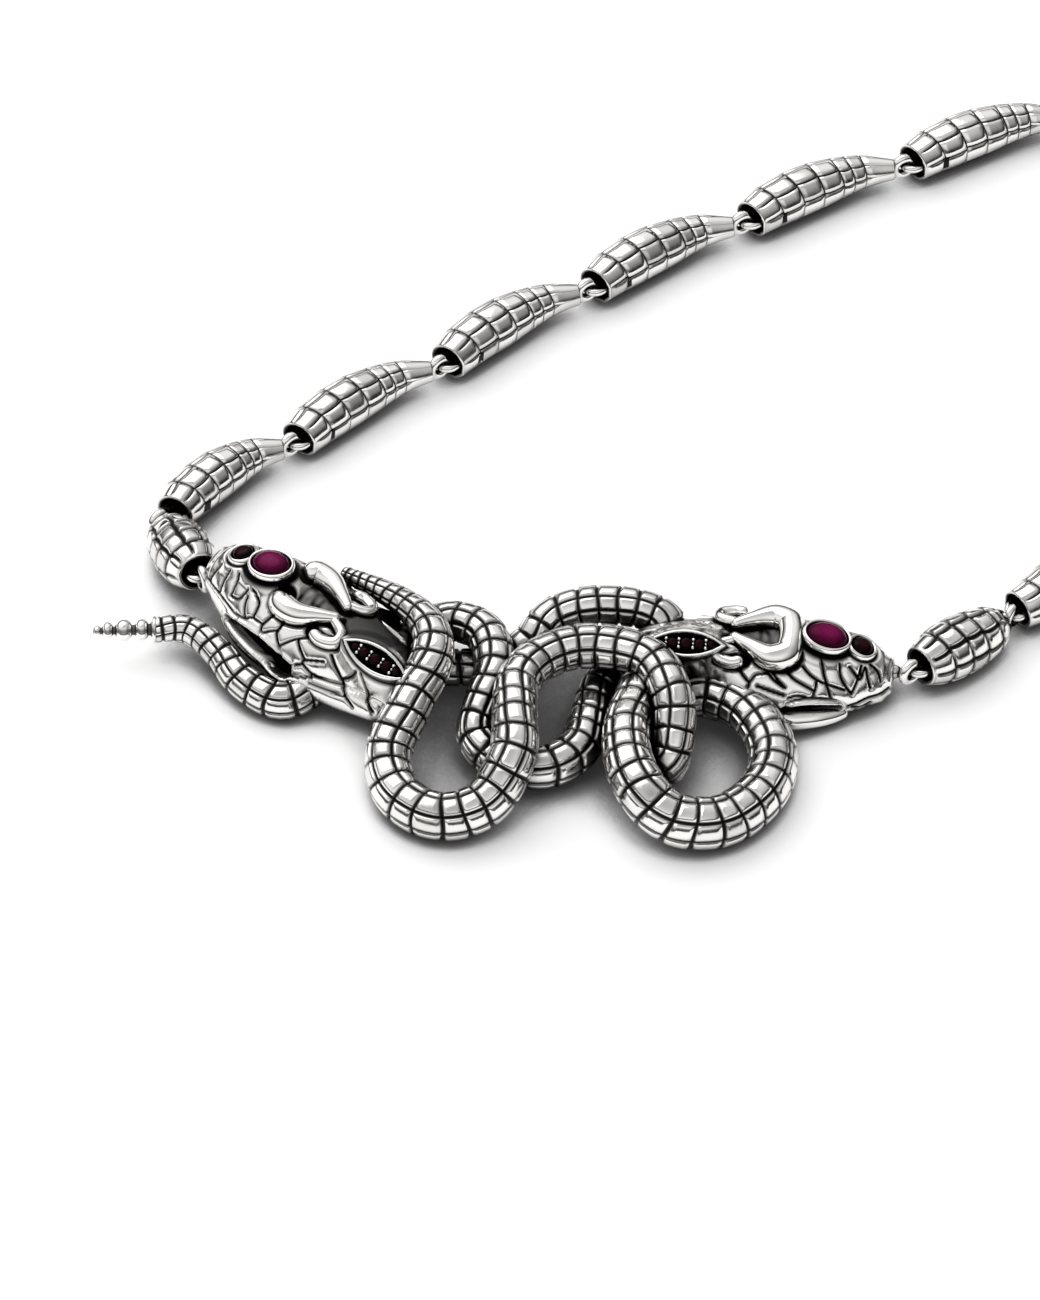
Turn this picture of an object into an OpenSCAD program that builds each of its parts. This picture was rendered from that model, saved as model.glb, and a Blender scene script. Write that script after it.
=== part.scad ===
// Snake necklace: two entwined snakes cast as one centrepiece, on a chain of curved horn links.
// It lies on a flat surface, +Z up, in millimetres. The snakes' heads point outward.

/* [Snakes] */
// Girth of the snake bodies against the route tables
girth = 1; // [0.92:0.01:1.03]
// Sides of a snake's body
body_sides = 12; // [10:1:14]
// Rings between two rows of a route
ring_steps = 2; // [2:1:3]

/* [Heads] */
// Length of a head from the neck to the nose
head_l = 25; // [24:0.5:26]
// Width of a head against the section table
head_w = 1; // [0.92:0.01:1.05]
// Depth of the open mouth corner
mouth_depth = 1.3; // [0.8:0.1:2]
// Rise of the left nose, degrees
left_pitch = 7; // [5:0.5:9]

/* [Stones] */
// Length of the oval stone on the snout
oval_l = 4.1; // [3.8:0.1:4.4]
// Width of the oval stone
oval_w = 3.3; // [3:0.1:3.6]
// Diameter of the small stone at the nose
small_d = 2.2; // [2:0.1:2.4]
// Length of the marquise eye
eye_l = 8; // [7.4:0.1:8.4]
// Width of the marquise eye
eye_w = 3; // [2.7:0.1:3.2]
// Thickness of the bezel walls
bezel = 0.45; // [0.35:0.05:0.5]
// Gap round every stone
stone_gap = 0.06; // [0.04:0.01:0.1]

/* [Chain] */
// Distance between the joints of a horn link
link_pitch = 18.8; // [18.6:0.1:19]
// Distance between the joints of the left barrel link
left_barrel_pitch = 11.4; // [11.2:0.1:12]
// Distance between the joints of the right barrel link
right_barrel_pitch = 13.4; // [13:0.1:13.8]
// Sides of a link's body
link_sides = 10; // [10:1:12]
// Diameter of the eye rings' wire
eye_wire = 0.95; // [0.85:0.05:1]
// Diameter of the loops' wire
loop_wire = 0.7; // [0.6:0.05:0.75]
// Depth of the open cup at a link's big end
cup_depth = 3.2; // [2.6:0.1:4]
// Wall of the cup
cup_wall = 0.42; // [0.35:0.01:0.5]

/* [Hidden] */
wire_sides = 5;
eye_r = 1.02;
loop_r = 0.96;
link_axis_z = 2.65;

// Place of the layout's middle, which the whole drawing is moved by
middle = [50.63, 52.6, 0];

// Right snake: from the head round the lower ring, over the arch, round the U and out to the thin tail
// Columns: x, y, z, radius
right_route = [
    [13, 10, 4.2, 2.2],
    [12, 4, 4.6, 2.3],
    [10.5, -3, 5.4, 2.4],
    [11.5, -9.5, 5.2, 2.55],
    [15, -13, 3.6, 2.65],
    [20, -12.5, 2.69, 2.65],
    [24, -8.5, 2.8, 2.55],
    [25, -3, 3, 2.45],
    [22.5, 2.5, 3, 2.35],
    [18, 5, 2.8, 2.2],
    [14, 3, 2.3, 2.05],
    [12.2, -1.6, 2.2, 1.95],
    [12.7, -5.2, 2.2, 1.9],
    [14.6, -5.3, 3.2, 1.95],
    [15.3, -2.4, 5.1, 2.1],
    [15, 1.2, 6.8, 2.15],
    [12.7, 5.6, 7.2, 2.2],
    [7.5, 7.5, 7.1, 2.25],
    [3, 6.4, 7, 2.25],
    [0, 3, 7, 2.25],
    [-0.5, -2, 7, 2.3],
    [-0.8, -7, 6, 2.4],
    [-3.5, -10.8, 3.4, 2.45],
    [-8, -11.8, 2.6, 2.45],
    [-12, -9, 2.8, 2.45],
    [-13, -4.5, 3.9, 2.4],
    [-11, 0, 6, 2.35],
    [-8.8, 4.5, 7.9, 2.2],
    [-9, 8.5, 8.5, 1.9],
    [-12, 13, 8, 1.45],
    [-17.5, 18, 6.8, 0.8],
];

// Left snake: from the head over the first arch, under the U, round the upper ring and out to the rattle
left_route = [
    [-12.5, 6, 5, 2.2],
    [-10.5, 10.5, 4.8, 2.15],
    [-7, 12.8, 5.3, 2.1],
    [-3.5, 10.5, 5.8, 2.1],
    [-2.5, 6, 5.5, 2.1],
    [-3.6, 1.8, 4.5, 2.1],
    [-4.2, -1.2, 3.1, 2.1],
    [-2, -3.8, 2.4, 2.15],
    [2.2, -4.8, 2.3, 2.2],
    [5.6, -2.4, 2.3, 2.2],
    [6.9, 2, 2.3, 2.1],
    [8.2, 6.8, 2.4, 2],
    [12, 9.6, 3, 2],
    [14.9, 11.5, 5.2, 2],
    [12.5, 13.3, 6.3, 2],
    [7.5, 14.2, 6.1, 2],
    [3.2, 13.4, 5.2, 2],
    [0.8, 11.4, 3.4, 2],
    [-2.6, 9.8, 2.2, 1.95],
    [-7.5, 9.6, 1.9, 1.85],
    [-13.5, 9.6, 1.9, 1.85],
    [-19, 7.8, 1.89, 1.85],
    [-23.6, 4.9, 1.99, 1.95],
    [-27.5, 7, 2.5, 1.8],
    [-30, 10.5, 3, 1.55],
    [-33, 13.4, 3.4, 1.45],
    [-36.5, 13.5, 3.4, 1.3],
];

// Rattle: a collar and four beads. Columns: distance from the end of the route, radius
rattle = [
    [0, 1.3], [0.5, 0.7], [0.9, 0.9], [1.6, 1.0], [2.1, 0.55], [2.7, 0.95], [3.4, 1.0], [4, 0.5],
    [4.4, 0.75], [4.9, 0.75], [5.3, 0.4], [5.7, 0.5], [6.1, 0.3],
];

// Head sections. Columns: share of the length, half width, bottom, height of the jaw line, top
head_rows = [
    [-0.06, 2.1, 1.8, 3.8, 5.8],
    [0.03, 2.9, 1.4, 3.6, 7.0],
    [0.14, 3.5, 1.0, 3.4, 7.6],
    [0.25, 4.3, 0.5, 3.0, 7.8],
    [0.36, 5.5, 0.2, 2.8, 7.8],
    [0.48, 6.3, 0.1, 2.7, 7.7],
    [0.60, 6.3, 0.1, 2.6, 7.6],
    [0.72, 5.7, 0.2, 2.7, 7.3],
    [0.82, 4.7, 0.3, 2.8, 6.8],
    [0.91, 3.6, 0.5, 2.9, 6.2],
    [0.97, 2.8, 0.8, 3.1, 5.5],
    [1.0, 2.0, 1.4, 3.2, 4.8],
];

// Crest lobe on the left of the head. Columns: x, y, z, radius
crest_rows = [
    [15.3, 1.5, 7.4, 0.8],
    [14.9, 2.7, 7.1, 1.15],
    [13.0, 2.8, 7.2, 1.1],
    [10.9, 1.8, 7.7, 0.75],
    [9.0, 0.7, 7.9, 0.45],
];

// Hook below the lobe's end
hook_rows = [
    [9.6, 1.2, 7.8, 0.45],
    [7.9, 1.9, 7.6, 0.5],
    [7.8, 3.0, 7.1, 0.6],
    [9.2, 3.6, 6.9, 0.6],
    [10.5, 3.3, 7.1, 0.55],
];

// Open mouth corner, as a slit along the jaw. Columns: x, y, z, radius
mouth_rows = [
    [19.5, 5.0, 2.7, 0.3],
    [17.0, 6.1, 2.7, 0.75],
    [13.0, 6.9, 2.7, 0.8],
    [10.5, 6.5, 2.7, 0.3],
];

// Lower lip below the slit, which runs on as the jaw bone to the neck
lip_rows = [
    [21, 3.9, 1.5, 0.5],
    [17.5, 5.3, 1.4, 1.1],
    [12.5, 5.4, 1.6, 1.4],
    [7, 4.2, 1.9, 1.6],
    [0.8, 2.8, 2.3, 1.4],
];

// Rings in one length of a body
body_part = 14;

// Where each head stands. Columns: x, y, z, pitch, heading
right_head_pose = [12, 9.6, 0, 0, -5];
left_head_pose = [-11.2, 4.8, 0.1, left_pitch, 141];

// Setting places on a head. Columns: x, y, z of the bezel's foot, tilt to the nose, roll to the side, turn
oval_pose = [18.3, 0, 6.8, 14, 0, 0];
small_pose = [21.7, 0, 5.8, 22, 0, 0];
left_eye_pose = [3.0, 2.0, 7.1, -2, -28, 4];
right_eye_pose = [4.8, 2.0, 7.1, -2, -28, 2];
// The eyes on the far sides sit lower, and a body hides the back of them
low_eye_pose = [6.2, 2.3, 4.9, -2, -48, 3];

bezel_h = 1.5;
small_bezel_h = 1.3;
eye_bezel_h = 1.7;
oval_seat = 0.9;
small_seat = 0.75;
eye_seat = 0.7;

// Stones of a marquise eye. Columns: distance along the eye, diameter
pave_row = [[-2.45, 0.8], [-1.35, 1.15], [0, 1.3], [1.35, 1.15], [2.45, 0.8]];

// Horn link body. Columns: share of the body's length, radius, bow to the outer side
horn_rows = [
    [0, 2.1, 0], [0.18, 2.5, 0.9], [0.46, 2.6, 1.45], [0.78, 1.9, 1.25], [1, 1.1, 0],
];

// Barrel link body, domed at its far end
barrel_rows = [
    [0, 2.1, 0], [0.22, 2.9, 0], [0.52, 3.05, 0], [0.84, 2.45, 0], [1, 1.3, 0],
];

// Headings of the horn links from the snakes to the clasp, degrees
left_headings = [40.5, 37, 37, 32, 27, 24, 40, 40, 18];
right_headings = [58, 30, 6, 6, 28, 56, 84, 112, 142];
// Headings of the barrel links, degrees
left_barrel_heading = 114;
right_barrel_heading = 40;
// The ring on each nose, on its head
left_nose_point = [25.5, 1.6, 1.5];
right_nose_point = [27, 0.2, 3.5];
// The first horn link on each side is this much shorter
first_short = 1.6;

top_taper = 0.22;
head_sides = 14;
girdle = 0.12;
horn_mouth = 1.15;
corner_mouth = 2.1;

silver = "silver";
ruby = "crimson";

// Point i + t of a route, on a smooth curve through its rows
function blend(a, b, c, d, t) =
    0.5 * (2 * b + (c - a) * t + (2 * a - 5 * b + 4 * c - d) * t * t + (3 * b - a - 3 * c + d) * t * t * t);
function row(route, i) = route[max(0, min(i, len(route) - 1))];
function along(route, i, t) = blend(row(route, i - 1), row(route, i), row(route, i + 1), row(route, i + 2), t);
function stations(route, steps) = [
    for (i = [0 : len(route) - 2]) for (k = [0 : steps - 1]) along(route, i, k / steps),
    route[len(route) - 1],
];
function place(s) = [s[0], s[1], s[2]];
function unit(v) = v / norm(v);
function heading_vector(a) = [cos(a), sin(a), 0];

// Direction of a list of stations at number i
function direction(list, i) = unit(place(list[min(i + 1, len(list) - 1)]) - place(list[max(i - 1, 0)]));

// A vector turned square to a direction
function squared(v, dir) = unit(v - dir * (v * dir));

// A ring of points round a station, from its side vector
function ring(p, dir, side, r, sides) =
    let (up = cross(side, dir))
    [for (k = [0 : sides - 1]) p + r * (cos(360 * (k + 0.5) / sides) * side + sin(360 * (k + 0.5) / sides) * up)];

// Solid between two flat rings of points
module span(a, b) {
    n = len(a);
    hull() polyhedron(
        concat(a, b),
        concat(
            [[for (k = [0 : n - 1]) k]], [[for (k = [0 : n - 1]) 2 * n - 1 - k]],
            [for (k = [0 : n - 1]) [(k + 1) % n, k, n + k, n + (k + 1) % n]]
        )
    );
}

// Rings of points through a list of stations, each ring's side vector carried on from the one before
function rings(list, sides, scale_r = 1) = [
    for (
        i = 0, dir = direction(list, 0), side = squared(cross(dir, [0, 0, 1]), dir);
        i < len(list);
        i = i + 1, dir = direction(list, min(i, len(list) - 1)), side = squared(side, dir)
    ) ring(place(list[i]), dir, side, list[i][3] * scale_r, sides),
];

// Wire through a list of stations, span by span
module wire(list, sides) {
    r = rings(list, sides);
    for (i = [0 : len(r) - 2]) span(r[i], r[i + 1]);
}

// Closed skin over a list of rings
module skin(r) {
    n = len(r[0]);
    last = len(r) - 1;
    polyhedron(
        [for (one = r) each one],
        [
            [for (k = [0 : n - 1]) n - 1 - k],
            [for (k = [0 : n - 1]) last * n + k],
            for (i = [0 : last - 1]) for (k = [0 : n - 1]) each [
                [i * n + k, i * n + (k + 1) % n, (i + 1) * n + k],
                [i * n + (k + 1) % n, (i + 1) * n + (k + 1) % n, (i + 1) * n + k],
            ],
        ]
    );
}

// Body through a list of stations
module rod(list, sides, scale_r = 1) {
    skin(rings(list, sides, scale_r));
}

// Rows of a route from number a to number b
function part_of(route, a, b) = [for (i = [a : b]) route[i]];

// Body in lengths, so that no length crosses itself
module snake_body(route) {
    rows = stations(route, ring_steps);
    last = len(rows) - 1;
    for (a = [0 : body_part : last - 1]) skin(part_of(rings(rows, body_sides, girth), a, min(a + body_part, last)));
}

module rattle_beads() {
    last = len(left_route) - 1;
    foot = place(left_route[last]);
    way = [-1, -0.04, 0];
    rod([for (r = rattle) concat(foot + r[0] * way, [r[1]])], 8);
}

// Sections of the head: boxy below, narrower on top
function head_ring(r) = [
    for (k = [0 : head_sides - 1])
        let (a = 360 * (k + 0.5) / head_sides, c = cos(a), s = sin(a))
        [
            r[0] * head_l,
            r[1] * head_w * sign(c) * pow(abs(c), 0.8) * (1 - top_taper * max(s, 0)),
            r[3] + (s > 0 ? r[4] - r[3] : r[3] - r[2]) * sign(s) * pow(abs(s), 0.85),
        ]
];

module skull() {
    for (i = [0 : len(head_rows) - 2]) span(head_ring(head_rows[i]), head_ring(head_rows[i + 1]));
}

module both_sides() {
    children();
    mirror([0, 1, 0]) children();
}

module at_pose(p) {
    translate([p[0], p[1], p[2]]) rotate([p[4], p[3], p[5]]) children();
}

module oval(l, w, h, sides = 12) {
    scale([l, w, 1]) cylinder(h = h, d = 1, $fn = sides);
}

// Marquise outline: two arcs that meet in points
module marquise(l, w, h) {
    arc_r = (l * l / 4 + w * w / 4) / w;
    span_a = asin(l / 2 / arc_r);
    linear_extrude(h) polygon([
        for (k = [0 : 4]) let (a = span_a * (k / 2 - 1)) [arc_r * sin(a), arc_r * cos(a) - arc_r + w / 2],
        for (k = [1 : 3]) let (a = span_a * (1 - k / 2)) [arc_r * sin(a), arc_r - arc_r * cos(a) - w / 2],
    ]);
}

module oval_bezel() {
    difference() {
        oval(oval_l + 2 * (bezel + stone_gap), oval_w + 2 * (bezel + stone_gap), bezel_h);
        translate([0, 0, bezel_h - oval_seat]) oval(oval_l + 2 * stone_gap, oval_w + 2 * stone_gap, 1);
    }
}

module small_bezel() {
    difference() {
        oval(small_d + 2 * (bezel + stone_gap), small_d + 2 * (bezel + stone_gap), small_bezel_h);
        translate([0, 0, small_bezel_h - small_seat]) oval(small_d + 2 * stone_gap, small_d + 2 * stone_gap, 1);
    }
}

module eye_bezel() {
    difference() {
        marquise(eye_l, eye_w, eye_bezel_h);
        translate([0, 0, eye_bezel_h - eye_seat]) marquise(eye_l - 2.6 * bezel, eye_w - 2 * bezel, 1);
    }
}

module eye_well() {
    translate([0, 0, eye_bezel_h - eye_seat]) marquise(eye_l - 2.6 * bezel, eye_w - 2 * bezel, 3);
}

module stone_wells() {
    at_pose(oval_pose) translate([0, 0, bezel_h - oval_seat]) oval(oval_l + 2 * stone_gap, oval_w + 2 * stone_gap, 3);
    at_pose(small_pose) translate([0, 0, small_bezel_h - small_seat])
        oval(small_d + 2 * stone_gap, small_d + 2 * stone_gap, 3);
}

// Head whose near side, the one with the higher eye, is its left (1) or its right (-1)
module head(near, eye) {
    difference() {
        union() {
            skull();
            both_sides() {
                rod(stations(crest_rows, 2), 6);
                rod(stations(hook_rows, 2), 5);
                rod(stations(lip_rows, 1), 6);
            }
            scale([1, near, 1]) at_pose(eye) eye_bezel();
            scale([1, -near, 1]) at_pose(low_eye_pose) eye_bezel();
            at_pose(oval_pose) oval_bezel();
            at_pose(small_pose) small_bezel();
        }
        stone_wells();
        scale([1, near, 1]) at_pose(eye) eye_well();
        scale([1, -near, 1]) at_pose(low_eye_pose) eye_well();
        both_sides() rod(stations(mouth_rows, 1), 6, mouth_depth);
    }
}

module on_head(pose) {
    translate([pose[0], pose[1], pose[2]]) rotate([0, -pose[3], pose[4]]) children();
}

// Eye ring of a joint, standing upright along the next piece's heading
module eye_ring(p, heading) {
    translate(p) rotate([90, 0, heading]) rotate_extrude($fn = 8) translate([eye_r, 0])
        circle(d = eye_wire, $fn = wire_sides);
}

// Short lug from inside the nose to its ring
module nose_lug(p) {
    wire([[head_l - 1.5, p[1] * 0.6, (p[2] + 3) / 2, 0.8], [p[0] - eye_r, p[1], p[2], 0.6]], 6);
}

module snakes() {
    color(silver) translate(-middle) {
        snake_body(right_route);
        snake_body(left_route);
        rattle_beads();
        on_head(right_head_pose) {
            head(-1, right_eye_pose);
            nose_lug(right_nose_point);
        }
        on_head(left_head_pose) {
            head(1, left_eye_pose);
            nose_lug(left_nose_point);
        }
        eye_ring(left_nose, angle_of(left_start - left_nose));
        eye_ring(right_nose, angle_of(right_start - right_nose));
    }
}

// Oval ring of points at a height, its size as a share of the stone's
function stone_ring(l, w, share, z, sides) = [
    for (k = [0 : sides - 1]) [l / 2 * share * cos(360 * k / sides), -w / 2 * share * sin(360 * k / sides), z],
];

// Cut stone with a table, a crown, a girdle and a pavilion, its girdle's top at height 0
module cut_stone(l, w, crown, depth, sides) {
    skin([
        stone_ring(l, w, 0.25, -girdle - depth, sides), stone_ring(l, w, 1, -girdle, sides),
        stone_ring(l, w, 1, 0, sides), stone_ring(l, w, 0.6, crown, sides),
    ]);
}

// Small stone without a girdle
module grain_stone(d, crown, depth, sides) {
    skin([stone_ring(d, d, 0.25, -depth, sides), stone_ring(d, d, 1, 0, sides), stone_ring(d, d, 0.6, crown, sides)]);
}

module ruby_on(pose) {
    color(ruby) translate(-middle) on_head(pose) at_pose(oval_pose) translate([0, 0, bezel_h - 0.1])
        cut_stone(oval_l, oval_w, 0.55, 0.6, 12);
}

module nose_stone_on(pose) {
    color("maroon") translate(-middle) on_head(pose) at_pose(small_pose) translate([0, 0, small_bezel_h - 0.1])
        cut_stone(small_d, small_d, 0.35, 0.45, 10);
}

// Stones of an eye from number first; a body hides those before it
module eye_stones_on(pose, side, eye, first) {
    color("maroon") translate(-middle) on_head(pose) scale([1, side, 1]) at_pose(eye)
        for (i = [first : len(pave_row) - 1])
            translate([pave_row[i][0], 0, eye_bezel_h - 0.15]) grain_stone(pave_row[i][1], 0.25, 0.35, 8);
}

// Heading and rise of a vector, degrees
function angle_of(v) = atan2(v[1], v[0]);
function rise_of(v) = atan2(v[2], norm([v[0], v[1]]));

// Where a point of a head is in the layout
function on_layout(pose, p) =
    let (x = p[0] * cos(pose[3]) - p[2] * sin(pose[3]), z = p[0] * sin(pose[3]) + p[2] * cos(pose[3]))
    [
        pose[0] + x * cos(pose[4]) - p[1] * sin(pose[4]),
        pose[1] + x * sin(pose[4]) + p[1] * cos(pose[4]),
        pose[2] + z,
    ];

// First joint of the chain, a barrel's length from the nose and down at the links' height
function chain_start(nose, heading, pitch) =
    let (flat = sqrt(pitch * pitch - pow(nose[2] - link_axis_z, 2)))
    [nose[0], nose[1], link_axis_z] + flat * heading_vector(heading);

left_nose = on_layout(left_head_pose, left_nose_point);
right_nose = on_layout(right_head_pose, right_nose_point);
left_start = chain_start(left_nose, left_barrel_heading, left_barrel_pitch);
right_start = chain_start(right_nose, right_barrel_heading, right_barrel_pitch);

function pitch_of(i) = i == 0 ? link_pitch - first_short : link_pitch;
function walk(start, headings, i) =
    i == 0 ? start : walk(start, headings, i - 1) + pitch_of(i - 1) * heading_vector(headings[i - 1]);

left_end = walk(left_start, left_headings, len(left_headings));
right_end = walk(right_start, right_headings, len(right_headings));
clasp_way = right_end - left_end;

// Wire loop that reaches from inside a cup through the eye of the joint at the origin, along +X
module loop(reach) {
    bend_x = eye_r;
    bend = [for (a = [90 : 45 : 270]) [bend_x + loop_r * cos(a), loop_r * sin(a), 0, loop_wire / 2]];
    wire(concat([[reach, loop_r, 0, loop_wire / 2]], bend, [[reach, -loop_r, 0, loop_wire / 2]]), wire_sides);
}

// Hollow-ended body from its mouth, at x = mouth, to its narrow end, at x = tip
module horn(rows, mouth, tip, bow_side) {
    body = [for (r = rows) [mouth + r[0] * (tip - mouth), bow_side * r[2], 0, r[1]]];
    cup = [
        [mouth - 0.1, body[0][1], 0, rows[0][1] - cup_wall],
        [mouth + cup_depth, body[1][1], 0, rows[0][1] - cup_wall],
    ];
    difference() {
        rod(body, link_sides);
        rod(cup, link_sides);
    }
    loop(mouth + cup_depth + 0.6);
}

module linked(from, way, rows, mouth, pitch, next_heading, bow_side) {
    color(silver) translate(-middle) {
        translate(from) rotate([0, -rise_of(way), angle_of(way)])
            horn(rows, mouth, pitch - eye_r - 0.1, bow_side);
        eye_ring(from + pitch * unit(way), next_heading);
    }
}

// Barrel link with a neck from its narrow end to the back of its eye ring
module barrel(nose, start, next_heading) {
    way = unit(start - nose);
    foot = start - (eye_r + 0.4) * way;
    back = start - eye_r * heading_vector(next_heading);
    linked(nose, start - nose, barrel_rows, 1.3, norm(start - nose), next_heading, 1);
    color(silver) translate(-middle) wire([concat(foot, [0.42]), concat(back, [0.38])], wire_sides);
}

module horn_link(start, headings, i, last_heading, bow_side) {
    next = i + 1 < len(headings) ? headings[i + 1] : last_heading;
    linked(
        walk(start, headings, i), heading_vector(headings[i]), horn_rows,
        i == 0 && bow_side > 0 ? corner_mouth : horn_mouth, pitch_of(i), next, bow_side
    );
}

module left_link(i) { horn_link(left_start, left_headings, i - 1, angle_of(clasp_way), 1); }
module right_link(i) { horn_link(right_start, right_headings, i - 1, angle_of(-clasp_way), -1); }

// Plain clasp barrel with a loop at each end
module clasp() {
    l = norm(clasp_way);
    body = [[1.3, 0, 0, 1.9], [3, 0, 0, 2.3], [l - 3, 0, 0, 2.3], [l - 1.3, 0, 0, 1.9]];
    color(silver) translate(-middle) translate(left_end) rotate([0, 0, angle_of(clasp_way)]) {
        difference() {
            rod(body, link_sides);
            rod([[1.2, 0, 0, 1.5], [2.4, 0, 0, 1.5]], link_sides);
            rod([[l - 2.4, 0, 0, 1.5], [l - 1.2, 0, 0, 1.5]], link_sides);
        }
        loop(3);
        translate([l, 0, 0]) rotate([0, 0, 180]) loop(3);
    }
}

snakes();
ruby_on(left_head_pose);  // ruby_left
ruby_on(right_head_pose);  // ruby_right
nose_stone_on(left_head_pose);  // nose_stone_left
nose_stone_on(right_head_pose);  // nose_stone_right
eye_stones_on(left_head_pose, 1, left_eye_pose, 0);  // eye_stones_left_near
eye_stones_on(left_head_pose, -1, low_eye_pose, 2);  // eye_stones_left_far
eye_stones_on(right_head_pose, -1, right_eye_pose, 1);  // eye_stones_right_near
eye_stones_on(right_head_pose, 1, low_eye_pose, 2);  // eye_stones_right_far
barrel(left_nose, left_start, left_headings[0]);  // barrel_left
barrel(right_nose, right_start, right_headings[0]);  // barrel_right
left_link(1);  // link_left_1
left_link(2);  // link_left_2
left_link(3);  // link_left_3
left_link(4);  // link_left_4
left_link(5);  // link_left_5
left_link(6);  // link_left_6
left_link(7);  // link_left_7
left_link(8);  // link_left_8
left_link(9);  // link_left_9
right_link(1);  // link_right_1
right_link(2);  // link_right_2
right_link(3);  // link_right_3
right_link(4);  // link_right_4
right_link(5);  // link_right_5
right_link(6);  // link_right_6
right_link(7);  // link_right_7
right_link(8);  // link_right_8
right_link(9);  // link_right_9
clasp();
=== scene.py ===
"""Looks of the snake necklace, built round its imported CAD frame.

Every length below is in millimetres, as in the drawing, until a mesh is made in metres.
"""

from __future__ import annotations

import logging
import math
from collections.abc import Callable, Sequence
from dataclasses import dataclass
from enum import Enum, IntEnum
from typing import NamedTuple

import bpy
import numpy as np
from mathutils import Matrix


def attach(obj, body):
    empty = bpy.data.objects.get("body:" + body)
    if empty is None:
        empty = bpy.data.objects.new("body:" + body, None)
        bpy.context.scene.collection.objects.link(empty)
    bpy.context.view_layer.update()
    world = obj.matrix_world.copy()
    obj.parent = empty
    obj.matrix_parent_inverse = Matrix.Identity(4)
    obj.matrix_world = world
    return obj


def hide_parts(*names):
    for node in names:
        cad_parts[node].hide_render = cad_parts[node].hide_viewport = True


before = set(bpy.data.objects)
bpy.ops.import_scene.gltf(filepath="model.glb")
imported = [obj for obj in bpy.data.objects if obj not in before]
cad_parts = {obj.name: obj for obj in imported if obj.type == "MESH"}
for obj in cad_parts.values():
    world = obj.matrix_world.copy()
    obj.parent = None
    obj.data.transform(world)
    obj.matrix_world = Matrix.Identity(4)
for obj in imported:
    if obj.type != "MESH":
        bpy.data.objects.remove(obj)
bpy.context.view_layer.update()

Array = np.ndarray
Rows = Sequence[tuple[float, ...]]
Placing = Callable[[Array], Array]

LOG = logging.getLogger("snake_necklace")
MM = 0.001
UP = np.array([0.0, 0.0, 1.0])
# Middle of the closed loop in the drawing's layout, which is the origin of the frame.
LAYOUT_MIDDLE = np.array([50.63, 52.6, 0.0])
# Height of the chain's axis, radius of a ring's and of a wire loop's middle line, length of a head.
LINK_AXIS_Z = 2.65
EYE_R = 1.02
LOOP_R = 0.96
HEAD_L = 25.0

# Routes of the two bodies in the layout: x, y, z and radius of each knot.
RIGHT_ROUTE = [
    (13, 10, 4.2, 2.2), (12, 4, 4.6, 2.3), (10.5, -3, 5.4, 2.4), (11.5, -9.5, 5.2, 2.55),
    (15, -13, 3.6, 2.65), (20, -12.5, 2.69, 2.65), (24, -8.5, 2.8, 2.55), (25, -3, 3, 2.45),
    (22.5, 2.5, 3, 2.35), (18, 5, 2.8, 2.2), (14, 3, 2.3, 2.05), (12.2, -1.6, 2.2, 1.95),
    (12.7, -5.2, 2.2, 1.9), (14.6, -5.3, 3.2, 1.95), (15.3, -2.4, 5.1, 2.1), (15, 1.2, 6.8, 2.15),
    (12.7, 5.6, 7.2, 2.2), (7.5, 7.5, 7.1, 2.25), (3, 6.4, 7, 2.25), (0, 3, 7, 2.25),
    (-0.5, -2, 7, 2.3), (-0.8, -7, 6, 2.4), (-3.5, -10.8, 3.4, 2.45), (-8, -11.8, 2.6, 2.45),
    (-12, -9, 2.8, 2.45), (-13, -4.5, 3.9, 2.4), (-11, 0, 6, 2.35), (-8.8, 4.5, 7.9, 2.2),
    (-9, 8.5, 8.5, 1.9), (-12, 13, 8, 1.45), (-17.5, 18, 6.8, 0.8),
]
LEFT_ROUTE = [
    (-12.5, 6, 5, 2.2), (-10.5, 10.5, 4.8, 2.15), (-7, 12.8, 5.3, 2.1), (-3.5, 10.5, 5.8, 2.1),
    (-2.5, 6, 5.5, 2.1), (-3.6, 1.8, 4.5, 2.1), (-4.2, -1.2, 3.1, 2.1), (-2, -3.8, 2.4, 2.15),
    (2.2, -4.8, 2.3, 2.2), (5.6, -2.4, 2.3, 2.2), (6.9, 2, 2.3, 2.1), (8.2, 6.8, 2.4, 2),
    (12, 9.6, 3, 2), (14.9, 11.5, 5.2, 2), (12.5, 13.3, 6.3, 2), (7.5, 14.2, 6.1, 2),
    (3.2, 13.4, 5.2, 2), (0.8, 11.4, 3.4, 2), (-2.6, 9.8, 2.2, 1.95), (-7.5, 9.6, 1.9, 1.85),
    (-13.5, 9.6, 1.9, 1.85), (-19, 7.8, 1.89, 1.85), (-23.6, 4.9, 1.99, 1.95), (-27.5, 7, 2.5, 1.8),
    (-30, 10.5, 3, 1.55), (-33, 13.4, 3.4, 1.45), (-36.5, 13.5, 3.4, 1.3),
]
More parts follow.
